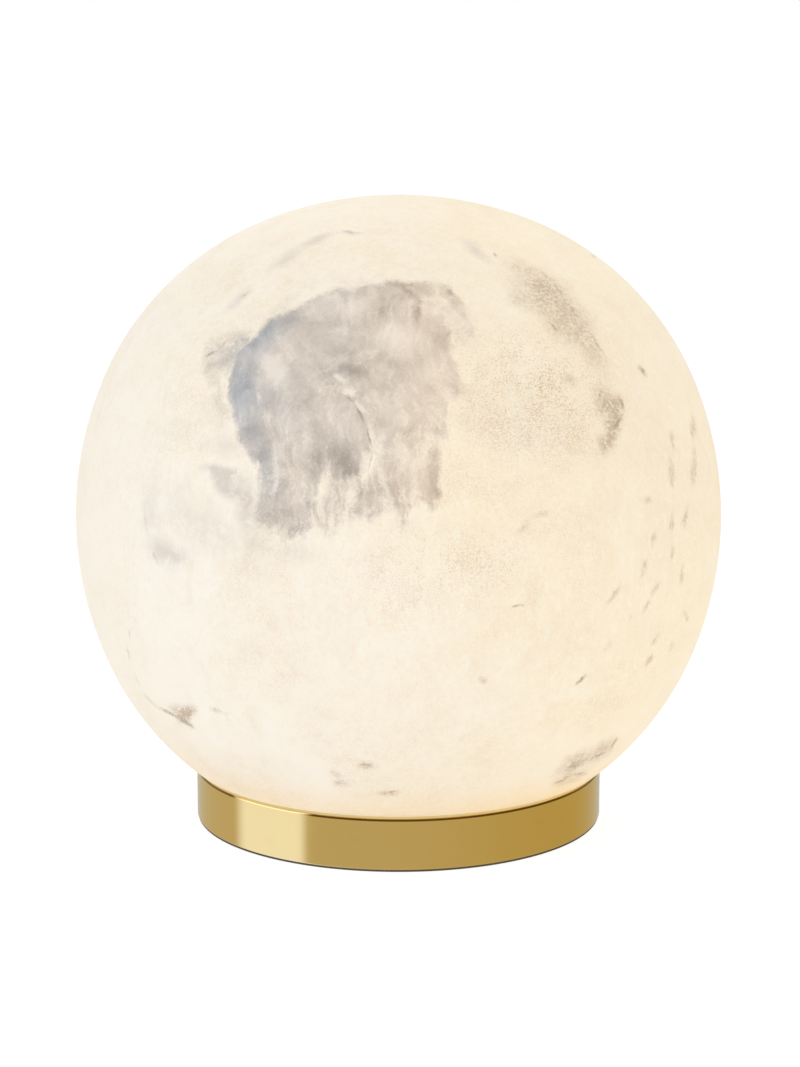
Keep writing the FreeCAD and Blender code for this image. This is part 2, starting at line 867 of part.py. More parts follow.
def cell_link(label, low, lead_x):
    """A nickel strip across both cells with a tab that reaches back to its lead."""
    end = cell_offset + dims.link_end
    half = dims.link_width / 2
    tab = dims.tab_width / 2
    outline = [(-end, -half), (end, -half), (end, half), (lead_x + tab, half),
               (lead_x + tab, dims.tab_reach), (lead_x - tab, dims.tab_reach), (lead_x - tab, half),
               (-end, half)]
    return slab(label, [outline], low, dims.link_thick)


stem_tube = stem()
stem_screws = fasteners(
    "stem_screws",
    hanging_screw(dims.stem_head_radius, dims.stem_head_height, dims.stem_screw_radius, stem_flange_high,
                  dims.stem_screw_length),
    stem_screw_pitch, STEM_SCREWS, dims.stem_screw_angle)
battery_cell_left = cell("battery_cell_left", -cell_offset)
battery_cell_right = cell("battery_cell_right", cell_offset)
holder_bottom = cell_holder("holder_bottom", holder_low, cell_low, low_tab_x)
holder_top = top_holder()
link_high_low = cell_high + dims.cell_nub_rise
cell_link_bottom = cell_link("cell_link_bottom", cell_low - dims.link_thick, low_tab_x)
cell_link_top = cell_link("cell_link_top", link_high_low, tab_x)


# Heat sink, light board and diffuser

LED_SCREWS = 3
OUTER_LEDS = 12
INNER_LEDS = 6
led_lead_places = [-dims.lead_centre - lead_offset, -dims.lead_centre + lead_offset]


def heat_sink():
    spigot = dims.stem_bore - dims.sink_spigot_gap
    groove = dims.sink_groove
    inner = sink_radius - dims.sink_groove_depth
    first = sink_low + groove
    second = first + 2 * groove
    body = turned("led_heat_sink", [
        (NONE, sink_low - dims.sink_spigot), (spigot, sink_low - dims.sink_spigot), (spigot, sink_low),
        (sink_radius, sink_low), (sink_radius, first), (inner, first), (inner, first + groove),
        (sink_radius, first + groove), (sink_radius, second), (inner, second),
        (inner, second + groove), (sink_radius, second + groove), (sink_radius, sink_high),
        (NONE, sink_high)])
    screw_low = sink_high - dims.led_screw_length + dims.pad_thick + dims.led_board_thick
    cut_bores(body, ring(NONE, dims.led_screw_radius, screw_low, sink_high),
              led_screw_pitch, LED_SCREWS, dims.led_screw_angle)
    cut_circle(body, -dims.lead_centre, dims.lead_row, dims.lead_hole_radius, sink_low - dims.sink_spigot,
               dims.sink_spigot + dims.sink_thick)
    return body


def light_disc(label, low, thick):
    """A round layer under the light-emitting chips with holes for the screws and leads."""
    body = turned(label, [(NONE, low), (led_board_radius, low), (led_board_radius, low + thick),
                          (NONE, low + thick)])
    cut_bores(body, ring(NONE, dims.led_screw_radius + dims.screw_slack, low, low + thick),
              led_screw_pitch, LED_SCREWS, dims.led_screw_angle)
    for place in led_lead_places:
        cut_circle(body, place, dims.lead_row, dims.lead_radius + dims.lead_slack, low, thick)
    return body


def chips():
    body = new_body("led_chips")
    half = dims.led_side / 2
    for pitch, count in ((led_pitch, OUTER_LEDS), (led_inner_pitch, INNER_LEDS)):
        sketch = new_sketch(body, "XY_Plane", led_board_high)
        draw_outline(sketch, rectangle(dims.led_side, -half, half, pitch))
        chip = raise_sketch(body, sketch, dims.led_rise)
        repeat_round(body, chip, count)
    centre = new_sketch(body, "XY_Plane", led_board_high)
    draw_outline(centre, rectangle(dims.led_side, -half, half))
    raise_sketch(body, centre, dims.led_rise)
    return body


def dome():
    """An opal bowl turned over: a flange, a straight neck and a round crown."""
    low = sink_high
    lip_high = low + dims.dome_lip_thick
    neck_high = low + dims.dome_neck_height
    outer = sink_radius + dims.dome_bulge
    neck = dome_neck
    inner = outer - dims.dome_wall
    neck_inner = neck - dims.dome_wall
    centre = neck_high + root(outer * outer - neck * neck)
    inner_start = centre - root(inner * inner - neck_inner * neck_inner)
    points = [
        (neck_inner, low), (neck + dims.dome_lip, low), (neck + dims.dome_lip, lip_high), (neck, lip_high),
        (neck, neck_high), (outer, centre), (NONE, centre + outer), (NONE, centre + inner),
        (inner, centre), (neck_inner, inner_start)]
    return turned("diffuser_dome", points, {4: outer, 5: outer, 7: -inner, 8: -inner})


def clamp_ring():
    inner = sink_radius + dims.ring_gap
    outer = inner + dims.ring_wall
    lip_low = sink_high + dims.dome_lip_thick + dims.ring_gap
    return turned("diffuser_ring", [
        (inner, sink_high - dims.ring_skirt), (outer, sink_high - dims.ring_skirt),
        (outer, lip_low + dims.ring_wall),
        (dome_neck + dims.ring_gap, lip_low + dims.ring_wall),
        (dome_neck + dims.ring_gap, lip_low), (inner, lip_low)])


led_heat_sink = heat_sink()
thermal_pad = light_disc("thermal_pad", sink_high, dims.pad_thick)
led_board = light_disc("led_board", pad_high, dims.led_board_thick)
led_chips = chips()
led_board_screws = fasteners(
    "led_board_screws",
    hanging_screw(dims.led_head_radius, dims.led_head_height, dims.led_screw_radius, led_board_high,
                  dims.led_screw_length),
    led_screw_pitch, LED_SCREWS, dims.led_screw_angle)
diffuser_dome = dome()
diffuser_ring = clamp_ring()


# Main board, hung under the deck

SPACERS = 3
spacer_pitch = (board_inner + board_outer) / 2
spacer_span = dims.board_span_angle - 2 * dims.spacer_inset_angle
spacer_start = BACK - spacer_span / 2


def cylinder(name, radius, height, low, angle=None):
    shape = document.addObject("Part::Cylinder", name)
    bind(shape, "Radius", radius)
    bind(shape, "Height", height)
    bind(shape, "Placement.Base.z", low)
    if angle is not None:
        bind(shape, "Angle", angle)
    return shape


def circuit_board():
    """A sector of a flat ring, with three screw holes."""
    sector = cylinder("board_sector", board_outer, dims.board_thick, board_low, dims.board_span_angle)
    middle = cylinder("board_middle", board_inner, dims.board_thick, board_low)
    blank = document.addObject("Part::Cut", "board_blank")
    blank.Base = sector
    blank.Tool = middle
    holes = document.addObject("Part::MultiFuse", "board_holes")
    shapes = []
    hole_radius = dims.board_screw_radius + dims.screw_slack
    for index in range(SPACERS):
        hole = cylinder("board_hole", hole_radius, dims.board_thick, board_low)
        angle = dims.spacer_inset_angle + spacer_span * index / (SPACERS - 1)
        bind(hole, "Placement.Base.x", spacer_pitch * cosine(angle))
        bind(hole, "Placement.Base.y", spacer_pitch * sine(angle))
        shapes.append(hole)
    holes.Shapes = shapes
    board = document.addObject("Part::Cut", "main_board")
    board.Base = blank
    board.Tool = holes
    board.Placement = Placement(Vector(), Rotation(UP, (BACK - dims.board_span_angle / 2).value))
    bind(board, "Placement.Rotation.Angle", BACK - dims.board_span_angle / 2)
    return board


main_board = circuit_board()
board_spacers = fasteners(
    "board_spacers", ring(dims.board_screw_radius, dims.spacer_radius, board_high, deck_low), spacer_pitch,
    SPACERS, spacer_start, spacer_span)
board_screws = fasteners(
    "board_screws",
    pan_screw(dims.board_head_radius, dims.board_head_height, dims.board_screw_radius, board_low,
              dims.board_screw_length),
    spacer_pitch, SPACERS, spacer_start, spacer_span)


# Charging port in the rear of the band

bezel_face = dims.band_radius - dims.bezel_recess
port_mouth = bezel_face - dims.port_recess
port_back = port_mouth - dims.port_depth


def tube_slot(label, width, height, wall, face, depth):
    """A short tube of slot section that points to the rear."""
    body = new_body(label)
    sketch = new_sketch(body, "XZ_Plane", -face)
    draw_slot(sketch, width, height, port_axis)
    draw_slot(sketch, width - 2 * wall, height - 2 * wall, port_axis)
    raise_sketch(body, sketch, depth)
    return body


def bezel():
    body = new_body("port_bezel")
    sketch = new_sketch(body, "XZ_Plane", -bezel_face)
    draw_slot(sketch, dims.bezel_width, dims.bezel_height, port_axis)
    hole = 2 * dims.port_slack
    draw_slot(sketch, dims.port_width + hole, dims.port_height + hole, port_axis)
    raise_sketch(body, sketch, dims.bezel_depth)
    return body


def port_insert():
    """The plug-in part of the port: a block at the back that carries the contact tongue."""
    body = new_body("usb_port_insert")
    play = 2 * (dims.port_wall + dims.tongue_slack)
    block = new_sketch(body, "XZ_Plane", -(port_back + dims.tongue_back))
    draw_slot(block, dims.port_width - play, dims.port_height - play, port_axis)
    raise_sketch(body, block, dims.tongue_back)
    tongue = new_sketch(body, "XZ_Plane", -(port_mouth - dims.tongue_recess))
    half = dims.tongue_thick / 2
    draw_outline(tongue, rectangle(dims.tongue_width, port_axis - half, port_axis + half))
    raise_sketch(body, tongue, dims.port_depth - dims.tongue_recess - dims.tongue_back)
    return body


usb_port_shell = tube_slot("usb_port_shell", dims.port_width, dims.port_height, dims.port_wall, port_mouth,
                           dims.port_depth)
usb_port_insert = port_insert()
port_bezel = bezel()


# Push button, its guide and its switch

plunger_front = button_back
switch_front = plunger_front - dims.plunger_reach


def radial(label, points, height, angle):
    """A sub-part turned round a level line that points out from the lamp's axis."""
    body = new_body(label)
    turned_radially(body, points, height, angle)
    return body


def button():
    """A brass cap with a lip behind its guide that keeps it in."""
    face = dims.band_radius + dims.button_proud
    radius = dims.button_radius
    return radial("power_button", [
        (NONE, button_back), (button_lip_radius, button_back), (button_lip_radius, guide_back),
        (radius, guide_back),
        (radius, face - dims.button_edge), (radius - dims.button_edge, face), (NONE, face)],
        button_axis, dims.button_angle)


def switch():
    """A side-pressed switch: a block with a bore that its plunger slides in."""
    switch_back = switch_front - dims.switch_depth
    body = slab("switch_body", [rectangle(dims.switch_width, switch_back, switch_front)], board_high,
                dims.switch_height, dims.button_angle)
    bore_back = switch_front - dims.plunger_tail - dims.switch_travel - dims.plunger_slack
    bore = ring(NONE, dims.plunger_radius + dims.plunger_slack, bore_back, switch_front)
    turned_radially(body, bore, button_axis, dims.button_angle, cut=True)
    return body


power_button = button()
button_guide = radial(
    "button_guide", ring(dims.button_radius + dims.button_slack, guide_outer, guide_back,
                         dims.band_radius - dims.guide_inset), button_axis, dims.button_angle)
switch_body = switch()
switch_plunger = radial(
    "switch_plunger", ring(NONE, dims.plunger_radius, switch_front - dims.plunger_tail, plunger_front),
    button_axis, dims.button_angle)


# Status light

status_front = board_outer
pipe_back = status_front + dims.status_gap


def light_pipe():
    head_front = pipe_back + dims.pipe_head_thick
    return radial("status_light_pipe", [
        (NONE, pipe_back), (dims.pipe_head_radius, pipe_back), (dims.pipe_head_radius, head_front),
        (dims.pipe_radius, head_front), (dims.pipe_radius, dims.band_radius), (NONE, dims.band_radius)],
        port_axis, dims.status_angle)


status_light_pipe = light_pipe()
status_led = slab(
    "status_led", [rectangle(dims.status_width, status_front - dims.status_depth, status_front)],
    board_high, dims.port_height, dims.status_angle)


# Parts on the main board, each at an angle from the rear and a reach from the axis

CAPACITORS = 4
controller_angle = as_size(-12)
driver_angle = as_size(-26)
inductor_angle = as_size(16)
capacitor_angle = as_size(-14)
mid_reach = spacer_pitch + 2 * dims.spacer_radius
connector_front = board_inner + dims.connector_inset
connector_back = connector_front + dims.connector_depth
capacitor_reach = connector_back + dims.capacitor_depth
capacitor_front = capacitor_reach + dims.capacitor_depth
lead_level = board_high + dims.connector_rise / 2


def inductor():
    body = new_body("power_inductor")
    sketch = new_sketch(body, "XY_Plane", board_high, -inductor_angle)
    draw_circle(sketch, (NONE, mid_reach), dims.inductor_radius)
    raise_sketch(body, sketch, dims.inductor_rise)
    return body


def capacitors():
    pitch = dims.capacitor_width + dims.capacitor_gap
    outlines = []
    for index in range(CAPACITORS):
        centre = pitch * (index - (CAPACITORS - 1) / 2)
        outlines.append(rectangle(dims.capacitor_width, capacitor_reach, capacitor_front, centre))
    return slab("board_capacitors", outlines, board_high, dims.capacitor_rise, capacitor_angle)


def connector(label, centre):
    outline = rectangle(dims.connector_width, connector_front, connector_back, centre)
    return slab(label, [outline], board_high, dims.connector_rise)


charge_controller = slab(
    "charge_controller", [rectangle(dims.controller_side, mid_reach, mid_reach + dims.controller_side)],
    board_high, dims.controller_rise, controller_angle)
led_driver_chip = slab(
    "led_driver_chip", [rectangle(dims.driver_width, mid_reach, mid_reach + dims.driver_depth)],
    board_high, dims.controller_rise, driver_angle)
power_inductor = inductor()
board_capacitors = capacitors()
battery_connector = connector("battery_connector", dims.lead_centre)
led_connector = connector("led_connector", -dims.lead_centre)


# Leads: each comes out of its connector, bends once and runs upright


def lead(label, place, end_height):
    """A round lead from a connector to an end above or below the connector's level."""
    radius = dims.lead_radius.value
    bend = dims.lead_bend.value
    level = lead_level.value
    row = dims.lead_row.value
    way = 1 if end_height.value > level else -1
    bend = min(bend, abs(end_height.value - level) / 2)
    start = Vector(place.value, connector_front.value, level)
    before = Vector(place.value, row + bend, level)
    turn_share = 1 - math.sqrt(2) / 2
    middle = Vector(place.value, row + bend * turn_share, level + way * bend * turn_share)
    after = Vector(place.value, row, level + way * bend)
    end = Vector(place.value, row, end_height.value)
    path = Part.Wire([
        Part.LineSegment(start, before).toShape(), Part.Arc(before, middle, after).toShape(),
        Part.LineSegment(after, end).toShape()])
    section = Part.Wire(Part.Circle(start, Vector(0, -1, 0), radius).toShape())
    solid = path.makePipeShell([section], True, False)
    run = (start - before).Length + (end - after).Length + math.pi / 2 * bend
    wanted = math.pi * radius * radius * run
    share = solid.Volume / wanted
    print(f"{label}: length {run:.1f}, bend {bend:.2f}, volume {share:.4f} of section x length")
    feature = document.addObject("Part::Feature", label)
    feature.Shape = solid
    feature.Placement = Placement()
    return feature


battery_lead_positive = lead("battery_lead_positive", tab_x, link_high_low)
battery_lead_negative = lead("battery_lead_negative", low_tab_x, cell_low)
led_lead_positive = lead("led_lead_positive", led_lead_places[0], led_board_high + dims.lead_end)
led_lead_negative = lead("led_lead_negative", led_lead_places[1], led_board_high + dims.lead_end)


# Check and export

SUB_PARTS = [
    alabaster_globe, globe_collar, base_band, seat_gasket, foot_ring, base_plate, plate_pillars,
    plate_screws, deck_plate, deck_screws, retention_magnets, stem_tube, stem_screws,
    battery_cell_left, battery_cell_right, holder_bottom, holder_top, cell_link_bottom,
    cell_link_top, led_heat_sink, thermal_pad, led_board, led_chips, led_board_screws,
    diffuser_dome, diffuser_ring, main_board, board_spacers, board_screws, usb_port_shell,
    usb_port_insert, port_bezel, power_button, button_guide, switch_body, switch_plunger,
    status_light_pipe, status_led, charge_controller, led_driver_chip, power_inductor,
    board_capacitors, battery_connector, led_connector, battery_lead_positive,
    battery_lead_negative, led_lead_positive, led_lead_negative,
]


def export():
    document.recompute()
    for thing in document.Objects:
        if "Invalid" in thing.State or "Error" in thing.State:
            raise RuntimeError(f"{thing.Label} failed: {thing.State}")
    os.makedirs("parts", exist_ok=True)
    for part in SUB_PARTS:
        shape = part.Shape
        if shape.isNull() or not shape.isValid() or not shape.Solids:
            raise RuntimeError(f"{part.Label} has no valid solid")
        shape.exportStep(f"parts/{part.Label}.step")
    print(f"{len(SUB_PARTS)} sub-parts written")


export()
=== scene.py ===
"""Rechargeable table lamp: materials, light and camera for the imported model. Metres, +Z up, front at -Y."""

import json
import math

import bpy
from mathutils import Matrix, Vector

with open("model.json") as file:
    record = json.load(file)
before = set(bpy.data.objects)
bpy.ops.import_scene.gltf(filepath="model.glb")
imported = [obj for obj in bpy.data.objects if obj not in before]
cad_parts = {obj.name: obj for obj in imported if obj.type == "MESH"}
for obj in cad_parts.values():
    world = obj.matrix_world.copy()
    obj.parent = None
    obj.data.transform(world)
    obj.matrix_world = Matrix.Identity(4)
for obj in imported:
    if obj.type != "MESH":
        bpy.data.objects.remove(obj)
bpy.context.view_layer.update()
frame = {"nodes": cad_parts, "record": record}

# Where the photograph was taken from: its focal length and the globe's centre in its pixels

PHOTO_HIGH = 1067
PHOTO_CENTRE = (400, 533.5)
GLOBE_PIXEL = (398.5, 515.1)
FOCAL_PIXELS = 3211
CAMERA_FAR = 1.0
CAMERA_RISE = math.radians(11.8)
GLOBE_CENTRE = Vector((0, 0, 0.0955))
TOWARDS = Vector((0, -math.cos(CAMERA_RISE), math.sin(CAMERA_RISE)))
UPWARDS = Vector((0, math.sin(CAMERA_RISE), math.cos(CAMERA_RISE)))

# The brass ring's edges by their height in metres, and by its turn in radians where the rim stays bright.
# Along the rim a dark line is painted in for the dark room that the edge reflects, the top is painted paler
# for the glowing globe that it reflects, and the foot edge carries a painted highlight.

RIM_DARK_FROM, RIM_DARK_FULL = 0.01555, 0.0158
RIM_DARK_ENDS, RIM_DARK_NONE = 0.01632, 0.01642
RIM_TOP_FROM, RIM_TOP_FULL = 0.01643, 0.01649
FOOT_EDGE_NONE, FOOT_EDGE_FULL = 0.0011, 0.0008
RIM_BRIGHT_FROM, RIM_BRIGHT_TO = (-0.93, -0.88), (-0.41, -0.46)
RIM_DARKNESS = 0.88
# Painted dark reflection along the rim's edge, for the dark room that the edge mirrors
RIM_PAINTED_DARK = (0.2, 0.085, 0.005, 1)
# Painted reflection: the ring's flat top is paler, for the glowing globe that it mirrors
TOP_PAINTED_REFLECTION = (0.74, 0.71, 0.37, 1)
# Painted highlight along the band's bottom edge, for the bright floor that it mirrors
FOOT_EDGE_PAINTED_HIGHLIGHT = (0.95, 0.84, 0.6, 1)

# The painted warm light that the brass throws on the stone just above it, and the bench that the lamp stands
# on

BRASS_BOUNCE_PAINTED = (1.04, 0.93, 0.76)
FLOOR_REACH = 4
FLOOR_DROP = 0.0002
WHITE = (1, 1, 1, 1)
FLOOR_PAINT = (0.8, 0.8, 0.8, 1)
FLOOR_PAINT_SEEN = (0.26, 0.26, 0.26, 1)
FLOOR_GLOW_SEEN = 0.86

# The room that gloss shows, by the way it is looked at from the lamp, and the plain light for the rest

ROOM_FRONT = (0.545, 0.505, 0.36, 1)
ROOM_RIGHT = (0.505, 0.427, 0.195, 1)
ROOM_LEFT = (0.56, 0.52, 0.38, 1)
ROOM_BACK = (0.57, 0.58, 0.56, 1)
ROOM_CEILING = (0.8, 0.78, 0.72, 1)
ROOM_SHADE = (0.22, 0.18, 0.1, 1)
SOFT_BOX_LOW = (1.0, 1.12, 1.42, 1)
SOFT_BOX_HIGH = (1.7, 1.8, 2.1, 1)
PLAIN_LIGHT = (0.55, 0.545, 0.535, 1)


def linear(red, green, blue):
    """A colour from its 0 to 255 values as shown on a screen."""
    def one(value):
        value /= 255
        return value / 12.92 if value <= 0.04045 else ((value + 0.055) / 1.055) ** 2.4

    return (one(red), one(green), one(blue), 1)


class Tree:
    """A node tree, with a short call for each kind of node that is used here."""

    def __init__(self, owner):
        self.owner = owner
        owner.use_nodes = True
        self.nodes = owner.node_tree.nodes
        self.links = owner.node_tree.links

    def put(self, socket, value):
        if isinstance(value, bpy.types.NodeSocket):
            self.links.new(value, socket)
        elif value is not None:
            socket.default_value = value

    def add(self, kind, *values, **settings):
        node = self.nodes.new(kind)
        for name, value in settings.items():
            setattr(node, name, value)
        for socket, value in zip(node.inputs, values):
            self.put(socket, value)
        return node

    def math(self, operation, *values, clamp=False):
        return self.add("ShaderNodeMath", *values, operation=operation, use_clamp=clamp).outputs[0]

    def vector(self, operation, *values):
        node = self.add("ShaderNodeVectorMath", *values, operation=operation)
        return node.outputs["Value" if operation == "DOT_PRODUCT" else "Vector"]

    def scaled(self, vector, size):
        if isinstance(size, tuple):
            return self.vector("MULTIPLY", vector, size)
        node = self.add("ShaderNodeVectorMath", vector, operation="SCALE")
        self.put(node.inputs["Scale"], size)
        return node.outputs[0]

    def mix(self, share, first, second, blend="MIX"):
        node = self.add("ShaderNodeMix", data_type="RGBA", blend_type=blend, clamp_factor=True)
        self.put(node.inputs[0], share)
        self.put(node.inputs[6], first)
        self.put(node.inputs[7], second)
        return node.outputs[2]

    def ramp(self, value, low, high, start=0.0, end=1.0, smooth=True):
        """Start up to low, end from high on, and a smooth turn between them."""
        node = self.add("ShaderNodeMapRange", interpolation_type="SMOOTHSTEP" if smooth else "LINEAR")
        for socket, number in zip(node.inputs, (value, low, high, start, end)):
            self.put(socket, number)
        return node.outputs[0]

    def noise(self, vector, scale, detail=3.0, rough=0.5, distortion=0.0):
        node = self.add("ShaderNodeTexNoise")
        self.put(node.inputs["Vector"], vector)
        self.put(node.inputs["Scale"], scale)
        self.put(node.inputs["Detail"], detail)
        self.put(node.inputs["Roughness"], rough)
        self.put(node.inputs["Distortion"], distortion)
        return node

    def place(self):
        return self.add("ShaderNodeTexCoord").outputs["Object"]


class Surface(Tree):
    """A material on one Principled shader."""

    def __init__(self, name, **constants):
        super().__init__(bpy.data.materials.new(name))
        self.shader = self.nodes["Principled BSDF"]
        for socket, value in constants.items():
            self.shader.inputs[socket.replace("_", " ")].default_value = value

    def feed(self, socket, value):
        self.put(self.shader.inputs[socket], value)

    def bump(self, height, strength, distance):
        node = self.add("ShaderNodeBump")
        self.put(node.inputs["Strength"], strength)
        self.put(node.inputs["Distance"], distance)
        self.put(node.inputs["Height"], height)
        self.feed("Normal", node.outputs[0])


# Stone of the globe


class Stone(Surface):
    """Veined stone. Patches are laid out as the photograph shows them, in its pixels, on the front."""

    def __init__(self, name, **constants):
        super().__init__(name, **constants)
        place = self.place()
        self.point = self.vector("SUBTRACT", place, tuple(GLOBE_CENTRE))
        right = self.vector("DOT_PRODUCT", self.point, (1, 0, 0))
        up = self.vector("DOT_PRODUCT", self.point, tuple(UPWARDS))
        self.near = self.vector("DOT_PRODUCT", self.point, tuple(TOWARDS))
        reach = self.math("DIVIDE", FOCAL_PIXELS, self.math("SUBTRACT", CAMERA_FAR, self.near))
        self.across = self.math("MULTIPLY_ADD", right, reach, GLOBE_PIXEL[0])
        self.down = self.math("MULTIPLY_ADD", up, self.math("MULTIPLY", reach, -1.0), GLOBE_PIXEL[1])
        self.layout = self.add("ShaderNodeCombineXYZ", self.across, self.down).outputs[0]
        self.front = self.ramp(self.near, -0.004, 0.008)

    def pushed(self, *pushes):
        """The layout, pushed about by colour noise so that patches get ragged edges."""
        layout = self.layout
        for push, amount in pushes:
            push = self.vector("SUBTRACT", push, (0.5, 0.5, 0.5))
            layout = self.vector("ADD", layout, self.scaled(push, (amount, amount, 0)))
        return layout

    def centred(self, noise):
        return self.math("SUBTRACT", noise, 0.5)

    def weighed(self, value, *rows):
        """A value with each noise added by its weight."""
        for noise, weight in rows:
            value = self.math("MULTIPLY_ADD", noise, weight, value)
        return value

    def mixed(self, share, first, second):
        """A plain number between two others."""
        node = self.add("ShaderNodeMix", data_type="FLOAT")
        for socket, value in zip(node.inputs, (share, None, first, second)):
            self.put(socket, value)
        return node.outputs[0]

    def patches(self, layout, rows, core=0.3, join="ADD"):
        """Soft long patches: ends x, y, x, y, half width and strength, in the photograph's pixels."""
        total = None
        for left, top, right, bottom, half, strength in rows:
            run = math.hypot(right - left, bottom - top)
            middle = ((left + right) / 2, (top + bottom) / 2, 0)
            node = self.add("ShaderNodeMapping", layout, vector_type="TEXTURE")
            node.inputs["Location"].default_value = middle
            node.inputs["Rotation"].default_value = (0, 0, math.atan2(bottom - top, right - left))
            node.inputs["Scale"].default_value = (run / 2 + half, half, 1)
            inside = self.add("ShaderNodeTexGradient", node.outputs[0], gradient_type="SPHERICAL").outputs[1]
            patch = self.ramp(inside, 0.0, 1.0 - core, 0.0, strength)
            total = patch if total is None else self.math(join, total, patch)
        return total


CLOUD_CRISP = [
    (250, 358, 316, 313, 27, 1.1), (316, 314, 370, 299, 27, 1.0), (370, 297, 420, 294, 23, 0.9),
    (420, 290, 446, 290, 15, 0.6), (446, 292, 462, 314, 11, 0.55), (462, 316, 473, 340, 8, 0.45),
    (244, 358, 243, 410, 22, 1.1), (246, 410, 262, 458, 22, 1.1),
]
CLOUD_BODY = [
    (276, 370, 296, 425, 46, 1.1), (300, 350, 370, 342, 54, 1.1), (328, 415, 346, 462, 40, 1.1),
    (376, 392, 424, 368, 60, 1.0), (400, 318, 440, 322, 32, 0.8), (432, 338, 442, 405, 27, 0.74),
    (268, 436, 300, 462, 28, 1.0), (296, 440, 312, 492, 22, 0.7), (380, 430, 428, 430, 42, 0.75),
    (260, 452, 266, 506, 17, 0.75), (284, 450, 288, 508, 19, 0.7), (306, 462, 304, 500, 15, 0.6),
]
CLOUD_SOFT = [
    (208, 366, 248, 338, 34, 0.75), (212, 372, 226, 420, 24, 0.4), (262, 440, 264, 550, 17, 1.1),
    (281, 450, 283, 556, 16, 1.0), (302, 450, 300, 548, 21, 0.78), (322, 470, 330, 545, 24, 0.58),
    (340, 460, 352, 516, 30, 0.7), (366, 478, 373, 524, 18, 1.0), (390, 440, 402, 518, 38, 0.8),
    (434, 440, 435, 516, 14, 1.1), (440, 300, 470, 345, 28, 0.4), (415, 440, 425, 500, 26, 0.7),
    (330, 284, 390, 276, 16, 0.5), (262, 324, 300, 296, 22, 0.45), (400, 340, 452, 400, 60, 0.5),
]
CLOUD_BLUE = [
    (236, 346, 240, 440, 30, 1.0), (244, 350, 285, 322, 30, 0.9), (256, 430, 266, 500, 24, 0.6),
    (262, 372, 282, 420, 34, 0.4),
]
CLOUD_DARK = [
    (230, 352, 232, 420, 13, 0.95), (236, 348, 262, 330, 17, 1.4), (258, 332, 300, 314, 18, 0.8),
    (244, 366, 250, 400, 22, 1.3), (244, 420, 262, 456, 18, 1.4), (395, 282, 413, 285, 6, 1.2),
    (402, 288, 420, 303, 7, 1.3), (420, 303, 417, 325, 7, 1.2), (428, 278, 446, 277, 5, 1.0),
    (446, 288, 462, 302, 7, 1.0), (464, 304, 476, 320, 5, 0.8), (368, 316, 395, 308, 6, 0.9),
    (328, 302, 364, 296, 8, 0.4), (312, 364, 334, 376, 11, 1.1), (334, 368, 368, 376, 13, 1.3),
    (340, 350, 352, 356, 10, 0.7), (428, 328, 438, 342, 10, 0.5), (262, 452, 276, 500, 16, 0.5),
    (326, 444, 352, 470, 21, 1.4), (316, 444, 314, 486, 8, 1.0), (350, 466, 364, 486, 13, 1.3),
    (334, 480, 346, 492, 11, 0.8), (303, 496, 312, 510, 8, 0.9), (279, 460, 286, 468, 7, 1.0),
    (432, 456, 437, 498, 8, 0.6),
]
CLOUD_LIGHT = [
    (266, 350, 284, 390, 18, 1.6), (254, 376, 262, 384, 8, 0.9), (384, 330, 412, 346, 24, 1.4),
    (426, 306, 448, 318, 14, 1.2), (274, 464, 272, 500, 5, 0.9), (296, 478, 294, 530, 7, 0.9),
    (334, 376, 342, 381, 5, 1.8), (342, 390, 354, 396, 6, 1.5), (356, 402, 366, 416, 4, 1.4),
    (368, 422, 378, 452, 5, 1.2), (322, 396, 338, 432, 18, 0.8), (370, 396, 400, 420, 18, 0.6),
    (388, 440, 420, 470, 22, 1.0), (334, 286, 352, 288, 7, 0.9), (342, 486, 354, 500, 9, 1.2),
    (318, 505, 330, 530, 12, 1.2), (400, 400, 440, 430, 26, 0.6), (436, 362, 446, 402, 24, 1.1),
    (418, 328, 436, 340, 16, 0.6), (300, 310, 380, 304, 22, 0.7), (274, 458, 292, 482, 13, 1.0),
]
FAINT = [
    (143, 470, 158, 560, 17, 0.32), (204, 466, 238, 477, 12, 1.3), (214, 478, 246, 501, 13, 1.3),
    (156, 548, 184, 562, 18, 0.75), (190, 515, 262, 560, 44, 0.28), (165, 480, 205, 530, 44, 0.22),
    (226, 310, 252, 288, 9, 0.55), (268, 272, 300, 248, 9, 0.6), (300, 246, 332, 234, 7, 0.8),
    (332, 233, 366, 233, 4, 0.7), (456, 238, 492, 262, 8, 0.6), (445, 300, 478, 345, 20, 0.3),
    (200, 440, 246, 450, 16, 0.4), (240, 462, 252, 548, 17, 0.75), (262, 545, 312, 556, 20, 0.45),
    (196, 400, 232, 440, 22, 0.22), (150, 430, 200, 436, 24, 0.16),
]
BROWN = [
    (512, 282, 552, 290, 22, 0.58), (538, 282, 566, 306, 25, 0.55), (550, 300, 586, 334, 27, 0.66),
    (574, 326, 606, 370, 17, 0.65), (508, 296, 548, 312, 14, 0.7), (503, 262, 540, 272, 10, 0.5),
    (545, 318, 575, 345, 16, 0.5), (602, 394, 614, 420, 18, 1.1), (618, 396, 616, 422, 9, 1.0),
    (612, 416, 609, 450, 12, 1.2), (600, 438, 604, 452, 8, 0.8), (564, 377, 573, 383, 8, 0.7),
    (533, 516, 545, 514, 6, 0.6), (519, 532, 530, 520, 6, 0.5), (556, 774, 592, 752, 12, 0.9),
    (584, 766, 616, 738, 10, 0.8), (550, 786, 590, 770, 8, 0.8), (184, 718, 190, 712, 11, 2.0),
    (172, 707, 184, 714, 9, 0.7), (644, 500, 650, 502, 6, 0.6), (480, 680, 488, 680, 5, 0.6),
    (334, 782, 348, 783, 6, 0.8), (376, 793, 402, 790, 5, 0.9), (356, 766, 378, 766, 5, 0.8),
    (330, 772, 344, 776, 5, 0.6), (490, 400, 560, 430, 70, 0.22),
]
